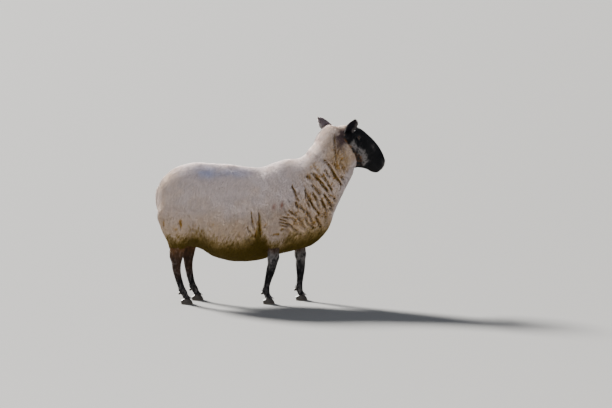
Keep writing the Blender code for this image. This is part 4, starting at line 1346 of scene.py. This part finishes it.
hairSettings = {
    "face": {"spacing": 0.0022, "halfWidth": 0.0007, "thick": 0.0003, "reach": 0.0085, "rise": 0.5},
    "leg": {"spacing": 0.003, "halfWidth": 0.0009, "thick": 0.0005, "reach": 0.01, "rise": 0.6},
    "ear": {"spacing": 0.002, "halfWidth": 0.0006, "thick": 0.0003, "reach": 0.0058, "rise": 0.65},
}
hairLimits = {
    "drift": 12.0, "spread": 11.0,  # turn shared by neighbouring hairs, and each hair's own, in degrees
    "border": 0.01,  # how far the face's hair runs on under the wool, and the legs' hair under the cuff
    "nose": (0.308, 0.0, -0.033),  # middle of the bare nose, in the head's frame
    "noseGap": 0.022, "grooveGap": 0.0012,  # the skin within these distances of nose and grooves is bare
    "eyeReach": 0.04,  # distance from the eye at which the hair reaches its full length
    "faceDepth": 0.0035, "legDepth": 0.0026, "earDepth": 0.0011,  # greatest depth of the hair
    "fan": 14.0,  # how strongly the ears' hair turns towards the rims
}


def hairCoat(kind, roots, normals, lies, depth, chart, random):
    # the settings of each hair from its place
    sizes = hairSettings[kind]
    count = len(roots)
    lies = unit(lies - normals * (lies * normals).sum(axis=1, keepdims=True))
    turn = hairLimits["drift"] * softNoise(roots, 0.02, 51)
    turn = turn + hairLimits["spread"] * random.standard_normal(count)
    lies = turned(lies, normals, np.radians(turn))
    return {
        "roots": roots, "normals": normals, "lies": lies,
        "rise": depth * (sizes["rise"] + 0.25 * random.random(count)),
        "reach": sizes["reach"] * (0.75 + 0.5 * random.random(count)),
        "halfWidth": sizes["halfWidth"] * (0.8 + 0.4 * random.random(count)),
        "thick": sizes["thick"] * np.ones(count),
        "sway": 0.04 * random.standard_normal(count),
        "shade": random.random(count), "chart": chart,
    }


def faceLie(points):
    # back from the muzzle, up over the forehead and down over the jaw
    head = toHead(points)
    up = np.interp(head[:, 2], (-0.13, -0.05, 0.02), (-0.45, -0.05, 0.15))
    return np.stack([-np.ones(len(points)), 0.25 * np.sign(head[:, 1]), up], axis=1) @ headAxes()


def faceGaps(places):
    # distances to the nearer eye, to the middle of the nose and to the nearest groove
    head = toHead(places)
    eyes = [np.linalg.norm(head - np.array(eyeShape["centre"]) * (1, side, 1), axis=1) for side in (1, -1)]
    nose = np.linalg.norm((head - np.array(hairLimits["nose"])) / (1.0, 1.3, 1.0), axis=1)
    grooves = [lineDistance(mirrored(head), line)[0] - halfWidth for line, halfWidth, _ in headGrooves]
    return np.min(eyes, axis=0), nose, np.min(grooves, axis=0)


def onFace(places):
    # in front of the wool's border, and clear of the bare nose and the grooves
    _, noseGap, grooveGap = faceGaps(places)
    bare = (noseGap <= hairLimits["noseGap"]) | (grooveGap <= hairLimits["grooveGap"])
    return (borderDistance(places) < hairLimits["border"]) & ~bare


def underCuff(places):
    # where they carry hair, a little under the wool too
    return places[:, 2] < legDetail["cuff"] + hairLimits["border"]


print("ewe: hair")
headRows = np.nonzero((borderDistance(spineOuter) < hairLimits["border"]).any(axis=1))[0].min()
rows, columns, roots = plantLocks(spineSkin, hairSettings["face"]["spacing"], random, onFace, headRows)
eyeGap, noseGap, grooveGap = faceGaps(onGrid(spineSkin, rows, columns))
shorter = np.clip(eyeGap / hairLimits["eyeReach"], 0.3, 1.0)
shorter *= 0.35 + 0.65 * smoothStep(0.016, 0.06, noseGap)
shorter *= 0.4 + 0.6 * smoothStep(0.0, 0.012, grooveGap)
depth = np.minimum(onGrid(spineDepth, rows, columns), hairLimits["faceDepth"]) * shorter
normals = normalsAt(gridNormals(spineSkin), rows, columns)
chart = chartPlaces(rows, columns, spineSkin, headRows, len(spineSkin))
coat = hairCoat("face", roots, normals, faceLie(roots), depth, chart, random)
for key in ("reach", "halfWidth"):
    coat[key] = coat[key] * (0.45 + 0.55 * shorter)
faceHair = lockMesh("hair_face", hairShape, coat, allMasks(roots, "spine"))
print("ewe: face hair", len(roots))

parts = []
for number, (name, grid) in enumerate(legSkin.items()):
    rows, columns, roots = plantLocks(grid, hairSettings["leg"]["spacing"], random, underCuff)
    normals, lies = normalsAt(gridNormals(grid), rows, columns), np.tile((0.0, 0.0, -1.0), (len(roots), 1))
    depth = np.minimum(onGrid(legDepth[name], rows, columns), hairLimits["legDepth"])
    parts.append((roots, normals, lies, depth, legChart(number, rows, columns, grid)))
coat = hairCoat("leg", *(np.concatenate(values) for values in zip(*parts)), random)
legHair = lockMesh("hair_legs", hairShape, coat, allMasks(coat["roots"], "leg"))
print("ewe: leg hair", len(coat["roots"]))

parts = []
for side, grid in earSkin.items():
    rows, columns, roots = plantLocks(grid, hairSettings["ear"]["spacing"], random)
    root, _, axis, _, across = earFrame(side)
    # the hair fans out from the ear's middle line towards its rims
    fan = hairLimits["fan"] * ((toHead(roots) - root) @ across)[:, None] * across
    chart = chartPlaces(rows, columns, grid, 0, grid.shape[0]) * (0.5, 1.0) + (0.5 * len(parts), 0.0)
    normals, depth = normalsAt(gridNormals(grid), rows, columns), np.full(len(roots), hairLimits["earDepth"])
    parts.append((roots, normals, (axis + fan) @ headAxes(), depth, chart))
coat = hairCoat("ear", *(np.concatenate(values) for values in zip(*parts)), random)
earHair = lockMesh("hair_ears", hairShape, coat, allMasks(coat["roots"], "ear"))
print("ewe: ear hair", len(coat["roots"]))

claw = {
    "length": 0.058, "width": 0.0215, "height": 0.031, "spread": 0.0128, "toeTaper": 0.38,
    # share of the height: lean back, share of the length
    "rings": ((0.0, 0.0, 1.0), (0.45, -0.0035, 0.95), (0.86, -0.009, 0.78), (0.97, -0.011, 0.6),
              (1.0, -0.012, 0.0)),
    "heel": 0.34,  # share of the height that the heel loses
    "growth": (0.00014, 44.0),  # height of the growth rings, and their turns up the wall in radians
    "edge": 0.0014,  # rounding round the sole
    # lowest rings: share of the height, and how many edges each lies inside the wall
    "sole": ((0.0, -0.5), (0.0, 4.0), (0.0, 2.0), (0.00675, 0.62), (0.0225, 0.2), (0.045, 0.0)),
    "wallRings": 30,
    "around": 44,
    "dewclaw": (-0.0165, 0.0112, 0.056, 0.0078),  # back and out from the foot, height, radius
    "dewclawWay": (-0.62, 0.18, -0.76),
    "dewclawWidths": (0.8, 0.74),  # against its radius, back to front and sideways
    "dewclawPoint": 0.18,  # how much further it reaches at its tip
    "fetlock": 0.062,  # height of the fetlock that the dewclaws hang from
}


def clawSurface(foot, side):
    # level rings from the sole up to the coronet, narrow at the toe, with ripples up the wall
    wall = claw["wallRings"]
    levels, insets = np.array(claw["sole"]).T
    height = np.concatenate([levels, np.linspace(0.08, 1.0, wall)])[:, None]
    inset = np.concatenate([insets, np.zeros(wall)])[:, None] * claw["edge"]
    angle = ringAngles(claw["around"])
    shares, leans, sizes = np.array(claw["rings"]).T
    lean, size = np.interp(height, shares, leans), np.interp(height, shares, sizes)
    forward = np.cos(angle)
    outward = np.sin(angle) * (1 - claw["toeTaper"] * np.clip(forward, 0, 1) ** 2)
    growth, turns = claw["growth"]
    ripple = np.sin(turns * height + 1.1 * forward + 0.6 * np.sin(3 * angle)) * (height > 0.1)
    ripple = growth * ripple * smoothStep(1.0, 0.9, height) - inset
    x = foot[0] + lean + (0.5 * claw["length"] * size + ripple) * forward
    y = foot[1] + side * claw["spread"] * (1 - 0.12 * height)
    breadth = claw["width"] * np.minimum(1 - 0.1 * height, size + 0.05 * (size > 0))
    y = y + (0.5 * breadth + ripple * (size > 0)) * outward
    heel = 1 - claw["heel"] * smoothStep(0.2, -1.0, forward) * smoothStep(0.1, 0.9, height)
    grid = np.stack([x, y, claw["height"] * height * heel], axis=2)
    grid[0] = grid[1].mean(axis=0)
    grid[-1] = grid[-2].mean(axis=0) + (0.0, 0.0, 0.0004)
    return grid


def dewclawSurface(foot, side):
    # a small horn bud behind the fetlock, pointing down and back
    back, out, level, radius = claw["dewclaw"]
    polar = np.linspace(0, math.pi, 12)[:, None]
    angle = ringAngles(20)
    stretch = 1 + claw["dewclawPoint"] * np.cos(polar) * (polar < math.pi / 2)
    local = np.stack([np.sin(polar) * np.cos(angle), np.sin(polar) * np.sin(angle),
                      np.cos(polar) * stretch + 0 * angle], axis=2)
    way = unit(np.array(claw["dewclawWay"]) * (1, side, 1))
    first = unit(np.cross(way, (0.0, 1.0, 0.0)))
    deep, wide = claw["dewclawWidths"]
    bud = local @ np.array([deep * first, wide * np.cross(way, first), way])
    return np.array([foot[0] + back, foot[1] + side * out, level]) + radius * bud


print("ewe: claws")
clawParts, clawNodes = [], []
for name, line in legLines.items():
    foot = np.array(line[-1][1:])
    fetlock = min(line, key=lambda row: abs(row[0] - claw["fetlock"]))
    for side, place in ((1, "left"), (-1, "right")):
        clawParts.append(gridMesh(f"clawPart_{name}_{place}", clawSurface(foot, side)))
        clawParts.append(gridMesh(f"dewPart_{name}_{place}", dewclawSurface((fetlock[1], foot[1]), side)))
        clawNodes += [f"claw_{name}_{place}", f"dewclaw_{name}_{place}"]


def gatherMeshes(name, parts):
    # one piece out of several closed meshes
    points, faces, start = [], [], 0
    for part in parts:
        points.append(meshPoints(part.data))
        faces += [tuple(start + index for index in face.vertices) for face in part.data.polygons]
        start += len(part.data.vertices)
        bpy.data.objects.remove(part)
    mesh = bpy.data.meshes.new(name)
    mesh.from_pydata(np.concatenate(points).tolist(), [], faces)
    mesh.update()
    mesh.shade_smooth()
    return addPiece(name, mesh)


claws = gatherMeshes("claws", clawParts)
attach(claws, "root")
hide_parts(*clawNodes)


tones = {
    # linear colours of the wool, from clean to dirty; the darkest also stand for painted shade
    "wool": (0.74, 0.64, 0.625), "cream": (0.67, 0.485, 0.32), "ochre": (0.4, 0.278, 0.108),
    "dirtAndShade": (0.15, 0.098, 0.018), "grimeAndShade": (0.076, 0.053, 0.005),
    # partings' edge and bottom (the bottom partly painted shade), patches, and the wool's roots
    "parting": (0.46, 0.235, 0.014), "cleftAndShade": (0.115, 0.051, 0.001), "blue": (0.3, 0.38, 0.64),
    "rust": (0.34, 0.08, 0.02), "nape": (0.05, 0.026, 0.036), "root": (0.5, 0.34, 0.17),
    # short hair: the black's blue tint is a painted sheen, and purple is painted light on the left ear
    "hair": (0.0032, 0.0032, 0.0048), "pale": (0.3, 0.275, 0.265), "pink": (0.29, 0.125, 0.036),
    "litPurple": (0.085, 0.062, 0.11),
    # bare nose, eye and horn
    "nose": (0.012, 0.009, 0.009), "irisDark": (0.022, 0.009, 0.003), "irisLight": (0.08, 0.036, 0.01),
    "irisEdge": (0.009, 0.005, 0.004), "pupil": (0.004, 0.004, 0.005), "horn": (0.01, 0.0085, 0.007),
    "hornBand": (0.05, 0.038, 0.027), "hornStreak": (0.095, 0.075, 0.052), "hornWorn": (0.15, 0.125, 0.092),
}


def setInputs(tree, node, inputs):
    # links outputs of other nodes to the node's inputs, and sets constants on them
    for key, value in inputs.items():
        if isinstance(value, bpy.types.NodeSocket):
            tree.links.new(value, node.inputs[key])
        elif isinstance(value, tuple) and node.inputs[key].type == "RGBA":
            node.inputs[key].default_value = (*value, 1.0)
        else:
            node.inputs[key].default_value = value


def addNode(tree, kind, inputs=None, **settings):
    node = tree.nodes.new(kind)
    for key, value in settings.items():
        setattr(node, key, value)
    setInputs(tree, node, inputs or {})
    return node


def mathOf(tree, operation, first, second=0.0, third=0.0, clamp=False):
    inputs = {0: first, 1: second, 2: third}
    return addNode(tree, "ShaderNodeMath", inputs, operation=operation, use_clamp=clamp).outputs[0]


def mixOf(tree, share, first, second):
    # a Mix node's colours are its inputs 6 and 7 and its output 2
    return addNode(tree, "ShaderNodeMix", {0: share, 6: first, 7: second}, data_type="RGBA").outputs[2]


def vectorParts(tree, name):
    source = addNode(tree, "ShaderNodeAttribute", attribute_name=name)
    return addNode(tree, "ShaderNodeSeparateXYZ", {0: source.outputs["Vector"]}).outputs


def noiseOf(tree, vector, scale, detail=2.0):
    return addNode(tree, "ShaderNodeTexNoise",
                   {"Vector": vector, "Scale": scale, "Detail": detail, "Roughness": 0.55}).outputs[0]


def stretchOf(tree, vector, *scale):
    # the vector drawn out or pressed together along each axis
    return addNode(tree, "ShaderNodeMapping", {"Vector": vector, "Scale": scale}).outputs[0]


def rangeOf(tree, value, low, high, top=1.0, kind="LINEAR"):
    # 0 at low and top at high, and straight or smooth between them
    inputs = {"Value": value, 1: low, 2: high, 3: 0.0, 4: top}
    return addNode(tree, "ShaderNodeMapRange", inputs, interpolation_type=kind).outputs[0]


def reliefOf(tree, height, strength, distance):
    inputs = {"Strength": strength, "Distance": distance, "Height": height}
    return addNode(tree, "ShaderNodeBump", inputs).outputs[0]


def swingOf(tree, noise, amount, base, clamp=False):
    # the base plus amount times the noise's distance from 0.5
    return mathOf(tree, "MULTIPLY_ADD", mathOf(tree, "SUBTRACT", noise, 0.5), amount, base, clamp)


def coatGroup():
    # wool and hair colours from the masks, darker and yellower at the roots, with fine fibres along each lock
    tree = bpy.data.node_groups.new("coatColours", "ShaderNodeTree")
    for name in ("Root Shade", "Lock Contrast"):
        tree.interface.new_socket(name=name, in_out="INPUT", socket_type="NodeSocketFloat")
    tree.interface.new_socket(name="Color", in_out="OUTPUT", socket_type="NodeSocketColor")
    for name in ("Woolly", "Roughness", "Fibre Height"):
        tree.interface.new_socket(name=name, in_out="OUTPUT", socket_type="NodeSocketFloat")
    given = tree.nodes.new("NodeGroupInput")
    result = tree.nodes.new("NodeGroupOutput")
    place = addNode(tree, "ShaderNodeTexCoord").outputs["Object"]
    dirtAndShade, cream, parting = vectorParts(tree, "fleeceMask")
    blue, rust, woolly = vectorParts(tree, "markMask")
    pale, pink, nape = vectorParts(tree, "hairMask")
    along, shade, across = vectorParts(tree, "lock")
    broad = noiseOf(tree, place, 16.0, 3.0)
    fine = noiseOf(tree, place, 170.0)
    fibreAt = addNode(tree, "ShaderNodeCombineXYZ", {0: mathOf(tree, "MULTIPLY", across, 7.0),
                                                    1: mathOf(tree, "MULTIPLY", along, 1.5),
                                                    2: mathOf(tree, "MULTIPLY", shade, 90.0)}).outputs[0]
    fibre = noiseOf(tree, fibreAt, 1.0)
    wool = mixOf(tree, swingOf(tree, broad, 0.5, cream, True), tones["wool"], tones["cream"])
    rootShare = mathOf(tree, "SUBTRACT", 1.0, along)
    rootShare = mathOf(tree, "MULTIPLY", rootShare, given.outputs["Root Shade"], clamp=True)
    wool = mixOf(tree, rootShare, wool, tones["root"])
    wool = mixOf(tree, mathOf(tree, "MULTIPLY", blue, 0.75), wool, tones["blue"])
    # the dirt mask's ochre, dirt and grime are partly dirt and partly painted shade under the belly, behind
    # the foreleg and in the flank's fold
    dirtAndShadeLevel = swingOf(tree, fine, 0.5, dirtAndShade, True)
    dirtAndShadeLevel = mathOf(tree, "SMOOTH_MIN", dirtAndShadeLevel, mathOf(tree, "MULTIPLY", dirtAndShade, 2.0), 0.1)
    # cleft, the dark bottom of a parting, is partly painted shade, and the nape tone is painted shade along
    # the face's border and behind the cheek
    layers = ((dirtAndShadeLevel, "ochre", 0.04, 0.42, 0.94), (dirtAndShadeLevel, "dirtAndShade", 0.3, 0.75, 0.94),
              (dirtAndShadeLevel, "grimeAndShade", 0.7, 1.05, 0.94), (parting, "parting", 0.1, 0.5, 0.92),
              (parting, "cleftAndShade", 0.45, 0.95, 0.9), (rust, "rust", 0.0, 1.0, 0.9),
              (nape, "nape", 0.0, 1.0, 0.9))
    for mask, tone, low, high, top in layers:
        wool = mixOf(tree, rangeOf(tree, mask, low, high, top), wool, tones[tone])
    hair = tones["hair"]
    # on the ears the purple, pink and pale shares are partly painted light: the left ear's lighter hair and
    # the pale rims
    for mask, tone in ((blue, "litPurple"), (pink, "pink"), (pale, "pale")):
        hair = mixOf(tree, mask, hair, tones[tone])
    level = swingOf(tree, shade, given.outputs["Lock Contrast"], 1.0)
    combed = noiseOf(tree, stretchOf(tree, place, 75.0, 75.0, 11.0), 1.0)
    for noise, amount in ((fibre, 0.2), (broad, 0.16), (combed, 0.34)):
        level = swingOf(tree, noise, amount, level)
    colour = mixOf(tree, woolly, hair, wool)
    colour = addNode(tree, "ShaderNodeHueSaturation", {"Value": level, "Color": colour}).outputs[0]
    rough = mathOf(tree, "MULTIPLY_ADD", woolly, 0.34, mathOf(tree, "MULTIPLY_ADD", fine, 0.12, 0.46))
    fibreHeight = mathOf(tree, "MULTIPLY_ADD", fibre, 0.7, mathOf(tree, "MULTIPLY", fine, 0.3))
    setInputs(tree, result, {"Color": colour, "Woolly": woolly, "Roughness": rough,
                             "Fibre Height": fibreHeight})
    return tree


coatTree = coatGroup()


def newMaterial(name):
    material = bpy.data.materials.new(name)
    material.use_nodes = True
    return material, material.node_tree, material.node_tree.nodes["Principled BSDF"]


def placeCoat(tree, rootShade, contrast):
    # the coat's group, with this material's own values
    return addNode(tree, "ShaderNodeGroup", {"Root Shade": rootShade, "Lock Contrast": contrast},
                   node_tree=coatTree).outputs


coatFinishes = {
    # root shade, contrast between locks, strength and height of the fibres' relief, specular level
    "fleece": (0.22, 0.26, 0.35, 0.0004, 0.05),
    "shortHair": (0.0, 0.55, 0.25, 0.0002, 0.22),
}


def coatMaterial(name):
    # the coat's colours, with a fine relief of fibres
    material, tree, shader = newMaterial(name)
    rootShade, contrast, strength, height, specular = coatFinishes[name]
    coat = placeCoat(tree, rootShade, contrast)
    relief = reliefOf(tree, coat["Fibre Height"], strength, height)
    setInputs(tree, shader, {"Base Color": coat["Color"], "Roughness": coat["Roughness"], "Normal": relief,
                             "Specular IOR Level": specular})
    return material


skinFinish = {
    "coat": (0.75, 0.0),  # root shade and contrast
    "combing": (620.0, 620.0, 150.0),
    "nose": (0.295, 0.0, -0.036),  # middle of the bare skin, in the head's frame
    "fade": (0.05, 0.024),  # distances from it at which it starts and is full
    "pebbles": 420.0,
}


def skinMaterial():
    # the coat's colours on the skin, combed along the body, with bare damp skin at the nose
    material, tree, shader = newMaterial("skin")
    coat = placeCoat(tree, *skinFinish["coat"])
    place = addNode(tree, "ShaderNodeTexCoord").outputs["Object"]
    hairs = noiseOf(tree, stretchOf(tree, place, *skinFinish["combing"]), 1.0, 3.0)
    nose = tuple(fromHead(skinFinish["nose"]).tolist())
    gap = addNode(tree, "ShaderNodeVectorMath", {0: place, 1: nose}, operation="DISTANCE").outputs["Value"]
    bare = rangeOf(tree, gap, *skinFinish["fade"], kind="SMOOTHSTEP")
    pebbles = addNode(tree, "ShaderNodeTexVoronoi", {"Vector": place, "Scale": skinFinish["pebbles"]})
    pebbles = pebbles.outputs["Distance"]
    height = addNode(tree, "ShaderNodeMix", {0: bare, 2: hairs, 3: pebbles}, data_type="FLOAT").outputs[0]
    colour = mixOf(tree, mathOf(tree, "MULTIPLY", bare, 0.8), coat["Color"], tones["nose"])
    rough = mathOf(tree, "MULTIPLY_ADD", bare, -0.2, coat["Roughness"])
    setInputs(tree, shader, {"Base Color": colour, "Roughness": rough, "Specular IOR Level": 0.35,
                             "Normal": reliefOf(tree, height, 0.6, 0.0006)})
    return material


eyeFinish = {
    # shares of the ball's radius
    "pupil": (0.4, 0.17),  # half length and half height
    "rim": (0.6, 0.8),  # where the iris starts to darken, and where it is dark
    "spokes": (9.0, 3.0),
}


def eyeMaterial():
    # amber iris with fine spokes, a level slit of a pupil, and a dark rim
    material, tree, shader = newMaterial("eyeball")
    forward, upward, _ = vectorParts(tree, "gaze")
    squares = [mathOf(tree, "POWER", part, 2.0) for part in (forward, upward)]
    radial = mathOf(tree, "SQRT", mathOf(tree, "ADD", *squares))
    turn = mathOf(tree, "ARCTAN2", upward, forward)
    spokeAt = addNode(tree, "ShaderNodeCombineXYZ", {
        index: mathOf(tree, "MULTIPLY", part, scale)
        for index, (part, scale) in enumerate(zip((turn, radial), eyeFinish["spokes"]))}).outputs[0]
    iris = mixOf(tree, noiseOf(tree, spokeAt, 1.6, 3.0), tones["irisDark"], tones["irisLight"])
    iris = mixOf(tree, rangeOf(tree, radial, *eyeFinish["rim"], kind="SMOOTHSTEP"), iris, tones["irisEdge"])
    # the pupil is where |forward / half length|^3 + |upward / half height|^3 is below about 1
    cubes = [mathOf(tree, "POWER", mathOf(tree, "ABSOLUTE", mathOf(tree, "DIVIDE", part, reach)), 3.0)
             for part, reach in zip((forward, upward), eyeFinish["pupil"])]
    pupil = rangeOf(tree, mathOf(tree, "ADD", *cubes), 1.25, 0.85)
    setInputs(tree, shader, {"Base Color": mixOf(tree, pupil, iris, tones["pupil"]), "Roughness": 0.12,
                             "Specular IOR Level": 0.15, "Coat Weight": 0.35, "Coat Roughness": 0.03})
    return material


hornFinish = {
    "bands": (40.0, 40.0, 420.0),
    "streaks": (520.0, 520.0, 40.0),
    "worn": (0.01, 0.003, 0.75),  # heights at which the scuffs start and are full, and their strength
}


def hornMaterial():
    # dark grey-brown horn, banded up the wall, scuffed pale at the sole
    material, tree, shader = newMaterial("horn")
    place = addNode(tree, "ShaderNodeTexCoord").outputs["Object"]
    level = addNode(tree, "ShaderNodeSeparateXYZ", {0: place}).outputs[2]
    bands = noiseOf(tree, stretchOf(tree, place, *hornFinish["bands"]), 1.0, 3.0)
    streaks = noiseOf(tree, stretchOf(tree, place, *hornFinish["streaks"]), 1.0)
    colour = mixOf(tree, bands, tones["horn"], tones["hornBand"])
    colour = mixOf(tree, mathOf(tree, "MULTIPLY", streaks, 0.3), colour, tones["hornStreak"])
    worn = rangeOf(tree, mathOf(tree, "MULTIPLY_ADD", streaks, 0.006, level), *hornFinish["worn"])
    setInputs(tree, shader, {"Base Color": mixOf(tree, worn, colour, tones["hornWorn"]),
                             "Roughness": mathOf(tree, "MULTIPLY_ADD", bands, 0.25, 0.38),
                             "Normal": reliefOf(tree, mathOf(tree, "ADD", bands, streaks), 0.5, 0.0005)})
    return material


print("ewe: materials")
woolMaterial, hairMaterial, eyeLook = coatMaterial("fleece"), coatMaterial("shortHair"), eyeMaterial()
for piece in woolPieces:
    piece.data.materials.append(woolMaterial)
for piece in (faceHair, legHair, earHair):
    piece.data.materials.append(hairMaterial)
skin.data.materials.clear()
skin.data.materials.append(skinMaterial())
claws.data.materials.append(hornMaterial())
for place in ("left", "right"):
    bpy.data.objects[f"eyeball_{place}"].data.materials.append(eyeLook)


cameraSettings = {"target": (0.17875, 0.0, 0.4925), "distance": 17.0, "elevation": 4.0, "focalLength": 200.0,
                  "sensorWidth": 36.0, "farEnd": 1000.0}


def makeCamera(settings):
    # looks down at its target by the elevation
    tilt = math.radians(settings["elevation"])
    data = bpy.data.cameras.new("camera")
    data.lens = settings["focalLength"]
    data.sensor_width = settings["sensorWidth"]
    data.clip_end = settings["farEnd"]
    camera = addPiece("camera", data)
    target = np.array(settings["target"])
    camera.location = target + settings["distance"] * np.array([0.0, -math.cos(tilt), math.sin(tilt)])
    camera.rotation_euler = (math.pi / 2 - tilt, 0.0, 0.0)
    bpy.context.scene.camera = camera


makeCamera(cameraSettings)

lights = {
    # place, height that it points at, strength, colour
    "sun": ((-2.8, 4.0, 3.2), 0.5, 27.0, (1.0, 0.98, 0.94)), "sunAngle": 12.0,
    "skyColour": (0.78, 0.86, 1.0), "skyStrength": 0.46,
    "fill": ((-1.2, -6.5, 4.2), 0.4, 152.0, (1.0, 0.955, 0.94)), "fillSize": 4.0,
    "floorRadius": 420.0, "floorColour": (0.175, 0.173, 0.168), "floorSpeckle": (0.2, 0.197, 0.192),
}


def makeLight(name, kind, place, height, energy, colour):
    # a light that looks at a point above the origin
    data = bpy.data.lights.new(name, kind)
    data.energy = energy
    data.color = colour
    light = addPiece(name, data)
    light.location = place
    way = Vector((0.0, 0.0, height)) - Vector(place)
    light.rotation_euler = way.to_track_quat("-Z", "Y").to_euler()
    return data


sun = makeLight("key", "SUN", *lights["sun"])
sun.angle = math.radians(lights["sunAngle"])
fill = makeLight("fill", "AREA", *lights["fill"])
fill.shape = "SQUARE"
fill.size = lights["fillSize"]

world = bpy.data.worlds.new("studio")
bpy.context.scene.world = world
world.use_nodes = True
sky = world.node_tree.nodes["Background"].inputs
sky["Color"].default_value = (*lights["skyColour"], 1.0)
sky["Strength"].default_value = lights["skyStrength"]


def makeFloor():
    # a wide flat disc
    angle = ringAngles(96)
    rim = lights["floorRadius"] * np.stack([np.cos(angle), np.sin(angle), 0 * angle], axis=1)
    mesh = bpy.data.meshes.new("floor")
    mesh.from_pydata(rim.tolist(), [], [tuple(range(len(rim)))])
    floor = addPiece("floor", mesh)
    material, tree, shader = newMaterial("paleFloor")
    place = addNode(tree, "ShaderNodeTexCoord").outputs["Object"]
    speckle = mathOf(tree, "MULTIPLY", noiseOf(tree, place, 3.0, 4.0), 0.1)
    colour = mixOf(tree, speckle, lights["floorColour"], lights["floorSpeckle"])
    setInputs(tree, shader, {"Base Color": colour, "Roughness": 0.9, "Specular IOR Level": 0.1})
    mesh.materials.append(material)


makeFloor()
